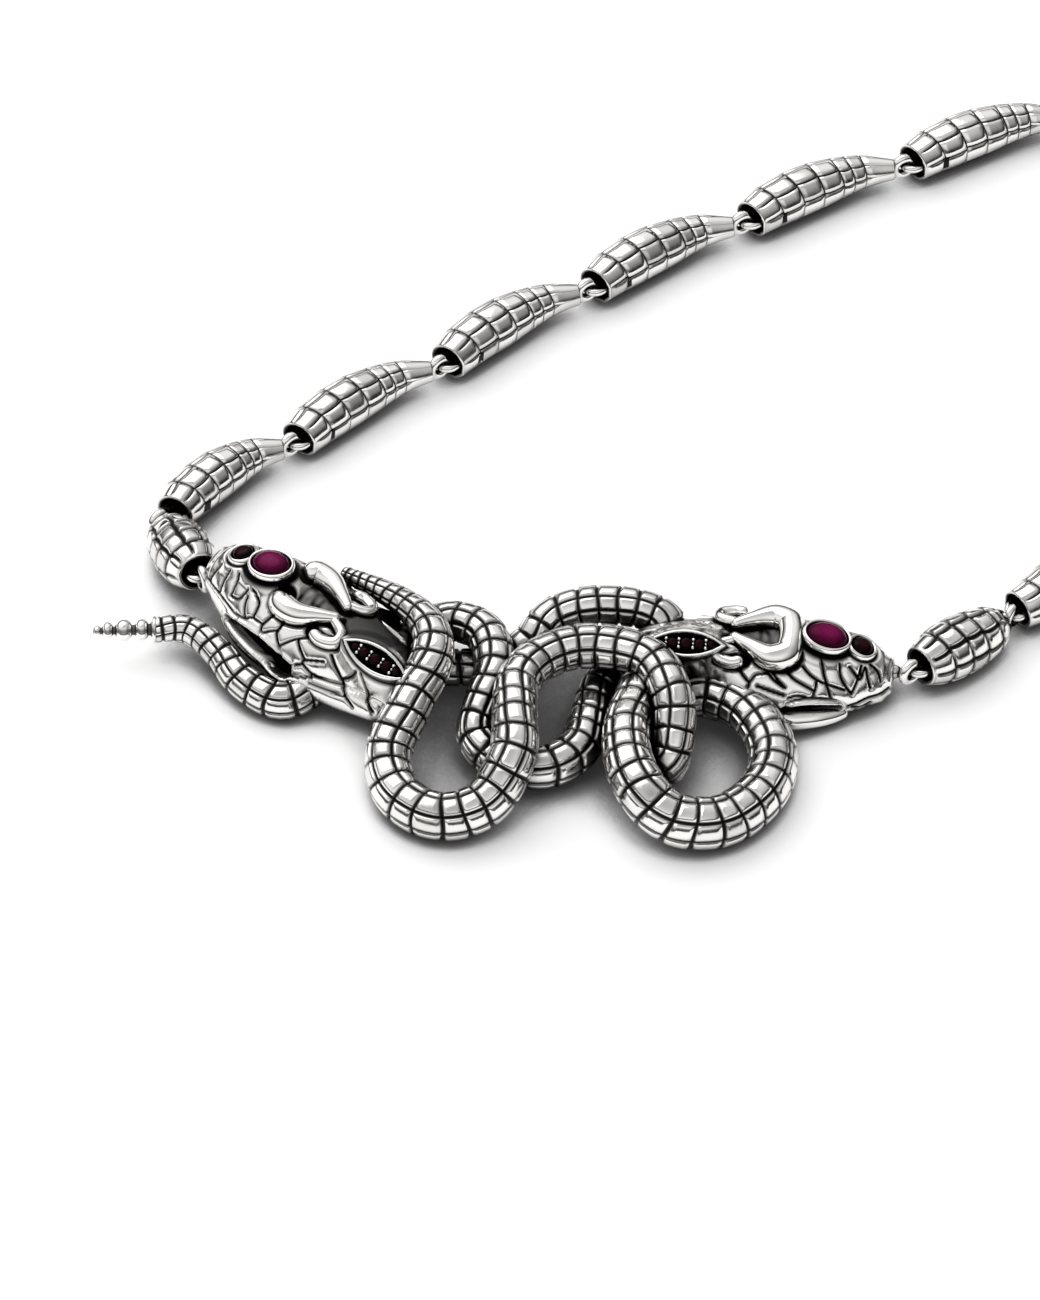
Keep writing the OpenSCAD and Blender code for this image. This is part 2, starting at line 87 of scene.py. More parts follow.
# Sections of the skull: share of its length, half width, lowest, widest and highest z.
HEAD_ROWS = [
    (-0.06, 2.1, 1.8, 3.8, 5.8), (0.03, 2.9, 1.4, 3.6, 7.0), (0.14, 3.5, 1.0, 3.4, 7.6),
    (0.25, 4.3, 0.5, 3.0, 7.8), (0.36, 5.5, 0.2, 2.8, 7.8), (0.48, 6.3, 0.1, 2.7, 7.7),
    (0.60, 6.3, 0.1, 2.6, 7.6), (0.72, 5.7, 0.2, 2.7, 7.3), (0.82, 4.7, 0.3, 2.8, 6.8),
    (0.91, 3.6, 0.5, 2.9, 6.2), (0.97, 2.8, 0.8, 3.1, 5.5), (1.0, 2.0, 1.4, 3.2, 4.8),
]
# Rods on a head: distance along it, across to its left and up, and radius.
CREST_ROWS = [
    (15.3, 1.5, 7.4, 0.8), (14.9, 2.7, 7.1, 1.15), (13.0, 2.8, 7.2, 1.1), (10.9, 1.8, 7.7, 0.75),
    (9.0, 0.7, 7.9, 0.45),
]
HOOK_ROWS = [
    (9.6, 1.2, 7.8, 0.45), (7.9, 1.9, 7.6, 0.5), (7.8, 3.0, 7.1, 0.6), (9.2, 3.6, 6.9, 0.6),
    (10.5, 3.3, 7.1, 0.55),
]
JAW_ROWS = [
    (21, 3.9, 1.5, 0.5), (17.5, 5.3, 1.4, 1.1), (12.5, 5.4, 1.6, 1.4), (7, 4.2, 1.9, 1.6),
    (0.8, 2.8, 2.3, 1.4),
]
# Stretch of the head over which the jaw bone wraps its rod.
JAW_SPAN = (0.8, 13.5)
# Middle of the jaw muscle on the far cheek, along, across and over the head, its reach and its rise.
MUSCLE, MUSCLE_REACH, MUSCLE_RISE = (6.5, -4.4, 5.2), 2.1, 1.85
# Body of a chain link: share of its length, radius and bow.
HORN_ROWS = [(0, 2.1, 0), (0.18, 2.5, 0.9), (0.46, 2.6, 1.45), (0.78, 1.9, 1.25), (1, 1.1, 0)]
BARREL_ROWS = [(0, 2.1, 0), (0.22, 2.9, 0), (0.52, 3.05, 0), (0.84, 2.45, 0), (1, 1.3, 0)]
# Stones of an eye: place along it and diameter. Between two of them sit three silver grains.
PAVE_ROW = [(-2.45, 0.8), (-1.35, 1.15), (0, 1.3), (1.35, 1.15), (2.45, 0.8)]
GRAINS = [(-0.4, 0.21), (0.0, 0.15), (0.4, 0.21)]
# Headings of the horn links from the heads round to the clasp, in degrees.
LEFT_HEADINGS = [40.5, 37, 37, 32, 27, 24, 40, 40, 18]
RIGHT_HEADINGS = [58, 30, 6, 6, 28, 56, 84, 112, 142]
BARREL_HEADINGS = (114.0, 40.0)


def linear(hex_colour: str) -> tuple[float, float, float, float]:
    """Turns an sRGB hex colour to linear light.

    Args:
        hex_colour: the colour as "#rrggbb".

    Returns:
        Linear red, green, blue and an alpha of 1.
    """
    values = [int(hex_colour[k : k + 2], 16) / 255 for k in (1, 3, 5)]
    lit = [v / 12.92 if v <= 0.04045 else ((v + 0.055) / 1.055) ** 2.4 for v in values]
    return lit[0], lit[1], lit[2], 1.0


def unit(v: Array) -> Array:
    """Scales vectors in the last axis to length 1."""
    return v / np.maximum(np.linalg.norm(v, axis=-1, keepdims=True), 1e-12)


def turned(degrees: tuple[float, float, float]) -> Array:
    """Rotation matrix of turns about X, then Y, then Z.

    Args:
        degrees: the three turns.

    Returns:
        The matrix, which multiplies a column.
    """
    x, y, z = (math.radians(d) for d in degrees)
    cx, sx, cy, sy, cz, sz = math.cos(x), math.sin(x), math.cos(y), math.sin(y), math.cos(z), math.sin(z)
    rx = np.array([[1, 0, 0], [0, cx, -sx], [0, sx, cx]])
    ry = np.array([[cy, 0, sy], [0, 1, 0], [-sy, 0, cy]])
    rz = np.array([[cz, -sz, 0], [sz, cz, 0], [0, 0, 1]])
    return rz @ ry @ rx


def heading_vector(degrees: float) -> Array:
    """Level vector of a heading."""
    return np.array([math.cos(math.radians(degrees)), math.sin(math.radians(degrees)), 0.0])


def heading_of(way: Array) -> float:
    """Heading of a vector, in degrees."""
    return math.degrees(math.atan2(way[1], way[0]))


def whole_turn(count: int) -> Array:
    """Evenly spaced angles of a whole turn."""
    return np.linspace(0, 2 * math.pi, count, endpoint=False)


def smooth_rows(rows: Array, t: Array) -> Array:
    """Catmull-Rom curve through the rows of a table, as the drawing's routes are.

    Args:
        rows: one row per knot.
        t: places along the table, 0 at the first row.

    Returns:
        One row of values per place.
    """
    i = np.clip(np.floor(t).astype(int), 0, len(rows) - 2)
    f = (t - i)[:, None]
    a, b, c, d = (rows[np.clip(i + k, 0, len(rows) - 1)] for k in (-1, 0, 1, 2))
    return 0.5 * (2 * b + (c - a) * f + (2 * a - 5 * b + 4 * c - d) * f**2 + (3 * b - a - 3 * c + d) * f**3)


def blurred(values: Array, width: float) -> Array:
    """Values smoothed along their first axis.

    Args:
        values: the values.
        width: standard deviation of the smoothing, in samples.

    Returns:
        As many values.
    """
    reach = max(int(3 * width), 1)
    k = np.exp(-0.5 * (np.arange(-reach, reach + 1) / width) ** 2)
    k /= k.sum()
    flat = values.reshape(len(values), -1)
    padded = np.pad(flat, ((reach, reach), (0, 0)), mode="edge")
    out = np.stack([np.convolve(padded[:, c], k, mode="valid") for c in range(flat.shape[1])], axis=1)
    return out.reshape(values.shape)


def ease(x: Array) -> Array:
    """Smooth step of values from 0 to 1."""
    x = np.clip(x, 0, 1)
    return x * x * (3 - 2 * x)


def rings(middle: Array, reach: Array, angle: Array, side: Array, up: Array) -> Array:
    """Points at a reach from middles, at angles in the planes of side and up vectors."""
    return middle + reach[..., None] * (np.cos(angle)[..., None] * side + np.sin(angle)[..., None] * up)


def facing(grid: Array, side: int) -> Array:
    """Grid whose columns run the other way where a part is mirrored, so that its faces look outward."""
    return grid if side > 0 else grid[:, ::-1]


class Path:
    """Smooth path through the rows of a table, with a frame that keeps the snake's back upward."""

    STEP = 0.1

    def __init__(self, rows: Rows, lean: float = 0.0) -> None:
        """Samples the path evenly.

        Args:
            rows: x, y, z and radius of each knot.
            lean: degrees by which the back leans to the outside of a tight bend.
        """
        table = np.array(rows, float)
        dense = smooth_rows(table, np.linspace(0, len(table) - 1, (len(table) - 1) * 40 + 1))
        run = np.concatenate([[0], np.cumsum(np.linalg.norm(np.diff(dense[:, :3], axis=0), axis=1))])
        self.length = float(run[-1])
        self.s = np.linspace(0, self.length, max(int(self.length / self.STEP), 8) + 1)
        even = np.stack([np.interp(self.s, run, dense[:, k]) for k in range(dense.shape[1])], axis=1)
        self.points, self.radii = even[:, :3], even[:, 3]
        step = self.s[1]
        self.dirs = unit(np.gradient(self.points, axis=0))
        side = blurred(np.cross(self.dirs, UP), 1.2 / step)
        side = unit(side - self.dirs * (side * self.dirs).sum(1, keepdims=True))
        up = np.cross(side, self.dirs)
        bend = -(np.gradient(self.dirs, axis=0) * side).sum(1) / step
        angle = np.radians(lean) * blurred(np.tanh(bend * 9), 2.0 / step)[:, None]
        self.side = np.cos(angle) * side - np.sin(angle) * up
        self.up = np.cos(angle) * up + np.sin(angle) * side

    def at(self, s: Array) -> tuple[Array, Array, Array, Array]:
        """Looks up the path.

        Args:
            s: distances along it.

        Returns:
            Points, radii, side vectors and up vectors there.
        """
        point, side, up = (
            np.stack([np.interp(s, self.s, v[:, k]) for k in range(3)], axis=-1)
            for v in (self.points, self.side, self.up)
        )
        return point, np.interp(s, self.s, self.radii), unit(side), unit(up)

    def ends(self, s: Array) -> Array:
        """Rise from 0 at both ends of the path to 1 at two millimetres from them."""
        return np.clip(np.minimum(s, self.length - s) / 2, 0, 1)


class Lines(NamedTuple):
    """Lines of a mesh across a row of plates, with one value per line.

    They are its place in millimetres, groove strength, swell, share across the plate and number of the plate.
    """

    place: Array
    groove: Array
    swell: Array
    share: Array
    plate: Array

    def closed(self) -> Lines:
        """The lines of a row that closes on itself, without the last, which is the first again."""
        return Lines(*(v[:-1] for v in self))


@dataclass(frozen=True)
class Relief:
    """Grid of engraved grooves and the plates between them, in millimetres."""

    depth: float = 0.24
    floor: float = 0.14
    wall: float = 0.08
    swell: float = 0.05
    lean: float = 0.06

    def samples(self, cuts: Array) -> Lines:
        """Lines of a mesh across a row of plates.

        Args:
            cuts: places of the grooves, in order.

        Returns:
            The lines, eight to a plate and one at the end.
        """
        share = np.array([0, 0, 0, 0.26, 0.5, 0.74, 1, 1])
        groove = np.array([1, 0.92, 0.04, 0, 0, 0, 0.04, 0.92])
        swell = np.array([0, 0, 0.42, 0.9, 1, 0.9, 0.42, 0])
        foot = self.floor + self.wall
        near = np.array([0, self.floor, foot, 0, 0, 0, -foot, -self.floor])
        places = []
        for a, b in zip(cuts[:-1], cuts[1:]):
            # A groove takes at most a quarter of a narrow plate on each side.
            keep = min(1.0, 0.24 * (b - a) / foot)
            places.append(a + share * (b - a) + near * keep)
        count = len(cuts) - 1
        return Lines(
            np.append(np.concatenate(places), cuts[-1]), np.append(np.tile(groove, count), 1),
            np.append(np.tile(swell, count), 0), np.append(np.tile(share, count), 1),
            np.append(np.repeat(np.arange(count), len(share)), count - 1),
        )

    @staticmethod
    def of_plates(values: Array, along: Lines, across: Lines) -> Array:
        """Values of the plates, spread to the points of the mesh."""
        return values[along.plate][:, across.plate]

    def height(self, groove: Array, swell: Array, tilt: Array) -> Array:
        """Height of points over the plain body."""
        return self.swell * swell - self.depth * groove + tilt * (1 - groove)

    @staticmethod
    def blackening(groove: Array, swell: Array, worn: Array) -> Array:
        """Patina of a relief: black in the grooves, a smudge beside them, and some plates less polished.

        Args:
            groove: groove strength from 0 to 1.
            swell: rise of the plate from 0 at its edge to 1 in its middle.
            worn: random number of each plate, from 0 to 1.

        Returns:
            Patina from 0 to 1.
        """
        plate = 0.3 * (1 - swell) ** 2 + 0.34 * worn**3
        return groove**1.3 + (1 - groove**1.3) * plate


class Polish(IntEnum):
    """How the silver of a part of a casting is finished, by the number of its material."""

    OXIDISED = 0
    BRIGHT = 1
    BRUSHED = 2


class Casting:
    """Points, faces and blackening of one cast piece, gathered before they become a mesh."""

    def __init__(self) -> None:
        """Starts with nothing."""
        self.count = 0
        self.points: list[Array] = []
        self.patina_and_painted_shade: list[Array] = []
        self.faces = {corners: [np.zeros((0, corners), int)] for corners in (4, 3)}
        self.polish = {corners: [np.zeros(0, int)] for corners in (4, 3)}

    def add_points(self, points: Array, patina_and_painted_shade: Array) -> None:
        """Adds points.

        Args:
            points: the points, one per row.
            patina_and_painted_shade: their blackening from 0 to 1.
        """
        self.points.append(points)
        self.patina_and_painted_shade.append(patina_and_painted_shade)
        self.count += len(points)

    def add_faces(self, faces: Array, polish: Polish) -> None:
        """Adds faces that all have three or four corners."""
        self.faces[faces.shape[1]].append(faces)
        self.polish[faces.shape[1]].append(np.full(len(faces), polish))

    def grid(
        self, p: Array, patina_and_painted_shade: Array | float = 0.0, caps: tuple[bool, bool] = (False, False),
        polish: Polish = Polish.OXIDISED,
    ) -> None:
        """Adds a grid of points whose rows close on themselves.

        Args:
            p: points, rows along and columns around, seen from outside counter-clockwise.
            patina_and_painted_shade: blackening from 0 to 1, one value or one per point.
            caps: whether the first and the last row are closed by a fan.
            polish: its finish.
        """
        n, m = p.shape[:2]
        shades = np.broadcast_to(np.asarray(patina_and_painted_shade, float), (n, m))
        index = self.count + np.arange(n * m).reshape(n, m)
        after = np.roll(index, -1, axis=1)
        self.add_points(p.reshape(-1, 3), shades.reshape(-1))
        quads = np.stack([index[:-1], after[:-1], after[1:], index[1:]], axis=-1)
        self.add_faces(quads.reshape(-1, 4), polish)
        for wanted, row, a, b in ((caps[0], 0, after[0], index[0]), (caps[1], -1, index[-1], after[-1])):
            if wanted:
                self.add_faces(np.stack([a, b, np.full(m, self.count)], axis=1), polish)
                self.add_points(p[row].mean(0)[None], shades[row].mean(keepdims=True))

    def tube(
        self, rows: Rows, sides: int, step: float, polish: Polish = Polish.BRIGHT,
        place: Placing = lambda p: p,
    ) -> None:
        """Adds a smooth round rod with domed ends through the rows of a table.

        Args:
            rows: x, y, z and radius of each knot.
            sides: points around.
            step: mean distance between rings, which crowd to the ends.
            polish: its finish.
            place: moves the points to the layout.
        """
        path = Path(rows)
        n = max(int(path.length / step), 4)
        s = path.length * (0.5 - 0.5 * np.cos(np.linspace(0, math.pi, n + 1)))
        p, r, side, up = path.at(s)
        for away, end_r in ((s, r[0]), (path.length - s, r[-1])):
            r = r * np.sqrt(np.clip(1 - np.clip(1 - away / end_r, 0, 1) ** 2, 1e-4, 1))
        ring = rings(p[:, None], r[:, None], whole_turn(sides), side[:, None], up[:, None])
        self.grid(place(ring), caps=(True, True), polish=polish)

    def ring(self, middle: Array, heading: float, wire: float = 0.48) -> None:
        """Adds an upright ring of wire.

        Args:
            middle: its middle.
            heading: heading of its plane.
            wire: radius of the wire.
        """
        u, v = whole_turn(40), whole_turn(16)
        way = heading_vector(heading)
        out = np.cos(u)[:, None] * way + np.sin(u)[:, None] * UP
        p = middle + (EYE_R + wire * np.cos(v))[None, :, None] * out[:, None]
        p = p + wire * np.sin(v)[None, :, None] * np.cross(way, UP)
        self.grid(np.concatenate([p, p[:1]])[:, ::-1], polish=Polish.BRIGHT)

    def make(self, name: str, materials: list[bpy.types.Material]) -> bpy.types.Object:
        """Makes the object.

        Args:
            name: the piece's name.
            materials: its materials, in the order that the grids number them.

        Returns:
            The object, in metres, in the frame of the CAD.
        """
        points = np.concatenate(self.points) - LAYOUT_MIDDLE
        points[:, 2] = np.maximum(points[:, 2], 0.0)
        quads, triangles = (np.concatenate(self.faces[corners]) for corners in (4, 3))
        mesh = bpy.data.meshes.new(name)
        mesh.vertices.add(len(points))
        mesh.vertices.foreach_set("co", (points * MM).astype(np.float32).ravel())
        loops = np.concatenate([quads.ravel(), triangles.ravel()]).astype(np.int32)
        mesh.loops.add(len(loops))
        mesh.loops.foreach_set("vertex_index", loops)
        starts = np.concatenate([np.arange(len(quads)) * 4, quads.size + np.arange(len(triangles)) * 3])
        polish = np.concatenate(self.polish[4] + self.polish[3])
        mesh.polygons.add(len(starts))
        mesh.polygons.foreach_set("loop_start", starts.astype(np.int32))
        mesh.polygons.foreach_set("material_index", polish.astype(np.int32))
        mesh.update(calc_edges=True)
        mesh.validate()
        mesh.polygons.foreach_set("use_smooth", np.ones(len(mesh.polygons), bool))
        # The attribute holds the dip black of grooves and hollows together with painted shade, the stones'
        # painted lit hearts and the beads' painted dark reflections.
        layer = mesh.attributes.new("patina_and_painted_shade", "FLOAT", "POINT")
        layer.data.foreach_set("value", np.concatenate(self.patina_and_painted_shade).astype(np.float32))
        for one in materials:
            mesh.materials.append(one)
        LOG.info("%s: %d triangles", name, 2 * len(quads) + len(triangles))
        return linked(name, mesh)


def linked(name: str, data: bpy.types.ID) -> bpy.types.Object:
    """Makes the object of a mesh, a lamp or a camera and puts it in the scene.

    Args:
        name: its name.
        data: what it shows.

    Returns:
        The object.
    """
    thing = bpy.data.objects.new(name, data)
    bpy.context.scene.collection.objects.link(thing)
    return thing


def add_node(
    tree: bpy.types.NodeTree, kind: str, settings: dict[str, object] | None = None,
    sockets: dict[str | int, object] | None = None, stops: Rows = (),
) -> bpy.types.Node:
    """Adds a node with its settings and links.

    Args:
        tree: the node tree.
        kind: the node's type name.
        settings: properties of the node.
        sockets: values, or output sockets to link, by input name or number.
        stops: place and grey level of each stop of a ramp, the first and the last included.

    Returns:
        The node.
    """
    node = tree.nodes.new(kind)
    for key, value in (settings or {}).items():
        setattr(node, key, value)
    for key, value in (sockets or {}).items():
        if isinstance(value, bpy.types.NodeSocket):
            tree.links.new(value, node.inputs[key])
        else:
            node.inputs[key].default_value = value
    if stops:
        elements = node.color_ramp.elements
        while len(elements) < len(stops):
            elements.new(0.5)
        for element, (place, level) in zip(elements, stops):
            element.position = place
            element.color = (level, level, level, 1)
    return node


def empty_tree(owner: bpy.types.Material | bpy.types.World) -> bpy.types.NodeTree:
    """Gives a material or a world an empty node tree.

    Args:
        owner: the material or the world.

    Returns:
        The tree.
    """
    owner.use_nodes = True
    owner.node_tree.nodes.clear()
    return owner.node_tree


@dataclass(frozen=True)
class Finish:
    """A finish, named for its real material and how that is made."""

    name: str

    def surface(self, tree: bpy.types.NodeTree) -> bpy.types.NodeSocket:
        """Adds the nodes of the finish and gives the output of its shader."""
        raise NotImplementedError

    def make(self) -> bpy.types.Material:
        """Makes the material.

        Returns:
            The material.
        """
        material = bpy.data.materials.new(self.name)
        tree = empty_tree(material)
        add_node(tree, "ShaderNodeOutputMaterial", {}, {"Surface": self.surface(tree)})
        return material


@dataclass(frozen=True)
class CastSilver(Finish):
    """Sterling silver, cast, dipped black and polished: its faces shine and its cuts stay black."""

    shine: str = "#f4f2ef"
    black: str = "#030303"
    roughness: float = 0.11
    black_roughness: float = 0.5
    tooling_mm: float = 0.7
    dent_mm: float = 0.02
    crevice_mm: float = 4.4
    # Shares of open sky at which the dip black and the painted shade start and are full.
    clean_sky: float = 0.8
    black_sky: float = 0.38

    def surface(self, tree: bpy.types.NodeTree) -> bpy.types.NodeSocket:
        """Adds the nodes.

        Args:
            tree: the material's node tree.

        Returns:
            The shader's output.
        """
        place = add_node(tree, "ShaderNodeTexCoord").outputs["Object"]
        attribute_black_and_shade = add_node(tree, "ShaderNodeAttribute", {"attribute_name": "patina_and_painted_shade"}).outputs["Fac"]
        # Dip black stays where the polishing cloth doesn't reach, which the open sky round a point tells. The
        # sheet and the other strands hide sky too, so this also paints shade under and between the strands.
        reach = {"Distance": self.crevice_mm * MM}
        sky = add_node(tree, "ShaderNodeAmbientOcclusion", {"samples": 6}, reach).outputs["AO"]
        crevice_black_and_painted_shade = add_node(
            tree, "ShaderNodeMapRange", {"interpolation_type": "SMOOTHSTEP"},
            {"Value": sky, "From Min": self.clean_sky, "From Max": self.black_sky},
        ).outputs[0]
        dark = add_node(tree, "ShaderNodeMath", {"operation": "MAXIMUM"}, {0: attribute_black_and_shade, 1: crevice_black_and_painted_shade}).outputs[0]
        # Cloth marks and slight waves of the cast skin, drawn coarser than life so that they show.
        waves = add_node(
            tree, "ShaderNodeTexNoise", {},
            {"Vector": place, "Scale": 1 / (self.tooling_mm * MM), "Detail": 3.0, "Roughness": 0.55},
        ).outputs["Fac"]
        stops = [(0.3, self.roughness * 0.7), (0.7, self.roughness * 1.5)]
        smear = add_node(tree, "ShaderNodeValToRGB", {}, {0: waves}, stops).outputs[0]
        gloss = {0: dark, 2: smear, 3: self.black_roughness}
        rough = add_node(tree, "ShaderNodeMix", {"data_type": "FLOAT"}, gloss).outputs[0]
        tones = {0: dark, 6: linear(self.shine), 7: linear(self.black)}
        tone = add_node(tree, "ShaderNodeMix", {"data_type": "RGBA"}, tones).outputs[2]
        dents = {"Strength": 0.35, "Distance": self.dent_mm * MM, "Height": waves}
        bump = add_node(tree, "ShaderNodeBump", {}, dents).outputs[0]
        shader = add_node(
            tree, "ShaderNodeBsdfPrincipled", {},
            {"Base Color": tone, "Metallic": 1.0, "Roughness": rough, "Normal": bump},
        )
        return shader.outputs[0]


@dataclass(frozen=True)
class CutGem(Finish):
    """Red stone, cut and polished: a deep wine body with a painted lighter heart, standing for light that
    comes back out through the table, and a hard, wet gloss.
    """

    edge: str = "#3c0222"
    lit_heart: str = "#7c0a4c"
    gloss: float = 0.06
    silk_mm: float = 0.6

    def surface(self, tree: bpy.types.NodeTree) -> bpy.types.NodeSocket:
        """Adds the nodes.

        Args:
            tree: the material's node tree.

        Returns:
            The shader's output.
        """
        # The attribute is 1 at the girdle and 0 in the heart of the stone, where the painted light is
        # brightest.
        rim = add_node(tree, "ShaderNodeAttribute", {"attribute_name": "patina_and_painted_shade"}).outputs["Fac"]
        place = add_node(tree, "ShaderNodeTexCoord").outputs["Object"]
        # Fine inclusions, drawn coarser than life, make the colour uneven.
        grain = {"Vector": place, "Scale": 1 / (self.silk_mm * MM), "Detail": 2.0}
        silk = add_node(tree, "ShaderNodeTexNoise", {}, grain).outputs["Fac"]
        sums = {0: silk, 1: 0.3, 2: rim}
        both = add_node(tree, "ShaderNodeMath", {"operation": "MULTIPLY_ADD"}, sums).outputs[0]
        span = {"Value": both, "From Min": 0.15, "From Max": 0.95}
        blend = add_node(tree, "ShaderNodeMapRange", {}, span).outputs[0]
        tones = {0: blend, 6: linear(self.lit_heart), 7: linear(self.edge)}
        tone = add_node(tree, "ShaderNodeMix", {"data_type": "RGBA"}, tones).outputs[2]
        shader = add_node(
            tree, "ShaderNodeBsdfPrincipled", {},
            {"Base Color": tone, "Roughness": self.gloss, "IOR": 1.76, "Specular IOR Level": 0.03},
        )
        return shader.outputs[0]


@dataclass(frozen=True)
class TentSheet(Finish):
    """White acrylic sheet, cast, with a painted glow: a glowing ground that takes only a soft painted shadow.
    """

    name: str = "white acrylic sheet, cast and backlit"
    glow: float = 0.3
    shade_mm: float = 14.0
    # Open share of the sky and the sheet's tone there.
    shade: Rows = ((0.2, 0.06), (0.42, 0.24), (0.54, 0.95))

    def surface(self, tree: bpy.types.NodeTree) -> bpy.types.NodeSocket:
        """Adds the nodes.

        Args:
            tree: the material's node tree.

        Returns:
            The shader's output.
        """
        # Painted shadow: the sheet's tone darkens where the necklace hides its sky, in its openings and under
        # it, as the light that reaches there is dimmer than a render gives.
        reach = {"Distance": self.shade_mm * MM}
        sky = add_node(tree, "ShaderNodeAmbientOcclusion", {"samples": 16}, reach).outputs["AO"]
        tone = add_node(tree, "ShaderNodeValToRGB", {}, {0: sky}, self.shade).outputs[0]
        # Painted glow: the sheet gives off its own tone as light, which lifts its painted shadows.
        shader = add_node(
            tree, "ShaderNodeBsdfPrincipled", {},
            {
                "Base Color": tone, "Roughness": 0.75, "Specular IOR Level": 0.1,
                "Emission Color": tone, "Emission Strength": self.glow,
            },
        )
        return shader.outputs[0]


class Slot(Enum):
    """The record's material slots."""

    SILVER = "silver"
    RUBY = "ruby"
    GARNET = "garnet"


@dataclass
class Finishes:
    """The materials that the pieces share: the silvers in the order of Polish, and the stones by slot."""

    silvers: list[bpy.types.Material]
    stones: dict[Slot, bpy.types.Material]

    @classmethod
    def made(cls) -> Finishes:
        """Makes them all.

        Returns:
            The finishes.
        """
        silvers = [
            # Bright plates that sink into broad black grooves and hollows, with painted shade under and
            # between the strands.
            CastSilver("sterling silver, cast and oxidised, with painted shade"),
            # A clean mirror, black only in the tightest corners.
            CastSilver(
                "sterling silver, cast and bright polished",
                roughness=0.09, tooling_mm=1.6, dent_mm=0.012, crevice_mm=0.8,
            ),
            # A softer shine with fine streaks, with painted shade beside whatever stands on it.
            CastSilver(
                "sterling silver, cast, chased and brushed",
                roughness=0.17, tooling_mm=0.6, dent_mm=0.02, crevice_mm=2.4,
            ),
        ]
        stones = {
            # Wine red all through, with painted light making it lighter in the middle.
            Slot.RUBY: CutGem("ruby, faceted and polished"),
            # Nearly black, with painted dark red light in the heart.
            Slot.GARNET: CutGem("garnet, faceted and polished", "#040001", "#26030a", gloss=0.04),
        }
        return cls([one.make() for one in silvers], {slot: one.make() for slot, one in stones.items()})


def seat(piece: bpy.types.Object, slot: Slot, *nodes: str) -> None:
    """Ties a piece to the frame.

    Args:
        piece: the piece.
        slot: its material slot, which is not used.
        nodes: the CAD nodes that it stands for.
    """
    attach(piece, "root")
    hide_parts(*nodes)


@dataclass
class SnakeBody:
    """A snake's long body: rows of plates between long and cross grooves."""

    name: str
    route: Rows
    seed: int
    # Places of the long grooves round the body, in degrees from its back.
    cuts: tuple[float, ...] = (-28, 28, 74, 118, 242, 286, 332)
    mean_r: float = 2.2
    plate_l: float = 2.1
    lean: float = 22.0
    waver: float = 0.13
    # The grooves are sunk into the solid body, so the relief is a little shallower and lower than drawn.
    relief: Relief = Relief(depth=0.24 * 0.85)
    sunk: float = 0.03

    def plate_cuts(self, path: Path) -> Array:
        """Places of the cross grooves, closer where the body is thinner.

        Args:
            path: the body's path.

        Returns:
            Distances along the path, both ends included.
        """
        cuts, s = [0.0], 0.0
        rng = np.random.default_rng(self.seed)
        while s < path.length - 0.5:
            r = float(np.interp(s, path.s, path.radii))
            s += max(0.75, min(self.plate_l, 0.98 * r)) * rng.uniform(0.9, 1.1)
            cuts.append(s)
        cuts[-1] = path.length
        return np.array(cuts)

    def dress(self, finishes: Finishes) -> None:
        """Builds the body and ties it to the frame.

        Args:
            finishes: the materials.
        """
        path = Path(self.route, self.lean)
        cross = self.plate_cuts(path)
        along = self.relief.samples(cross)
        across = self.relief.samples(np.radians(np.array(self.cuts)) * self.mean_r).closed()
        angle = math.pi / 2 - across.place / self.mean_r
        plates = (len(cross) - 1, len(self.cuts) - 1)
        rng = np.random.default_rng(self.seed + 1)
        lift = self.relief.of_plates(rng.uniform(-1, 1, (*plates, 3)) * self.relief.lean, along, across)
        # The long grooves waver, with another phase at each plate.
        phases = rng.uniform(0, 2 * math.pi, len(cross) + 1)[: len(cross)]
        phase = np.interp(along.place, cross, phases)
        shift = self.waver * np.sin(2 * angle + phase[:, None]) * path.ends(along.place)[:, None]
        worn = self.relief.of_plates(rng.uniform(0, 1, plates), along, across)
        groove = np.maximum(along.groove[:, None], across.groove)
        swell = np.sqrt(along.swell[:, None] * across.swell)
        tilt = lift[..., 0] * (along.share[:, None] - 0.5) + lift[..., 1] * (across.share - 0.5)
        tilt = tilt + lift[..., 2] / 2
        p, r, side, up = path.at(along.place[:, None] + shift)
        height = self.relief.height(groove, swell, tilt) - self.sunk
        ring = rings(p, r + height * np.clip(r / self.mean_r, 0.4, 1.1), angle, side, up)
        cast = Casting()
        cast.grid(ring[:, ::-1], self.relief.blackening(groove, swell, worn)[:, ::-1], caps=(True, True))
        seat(cast.make(self.name, finishes.silvers), Slot.SILVER, "snakes")


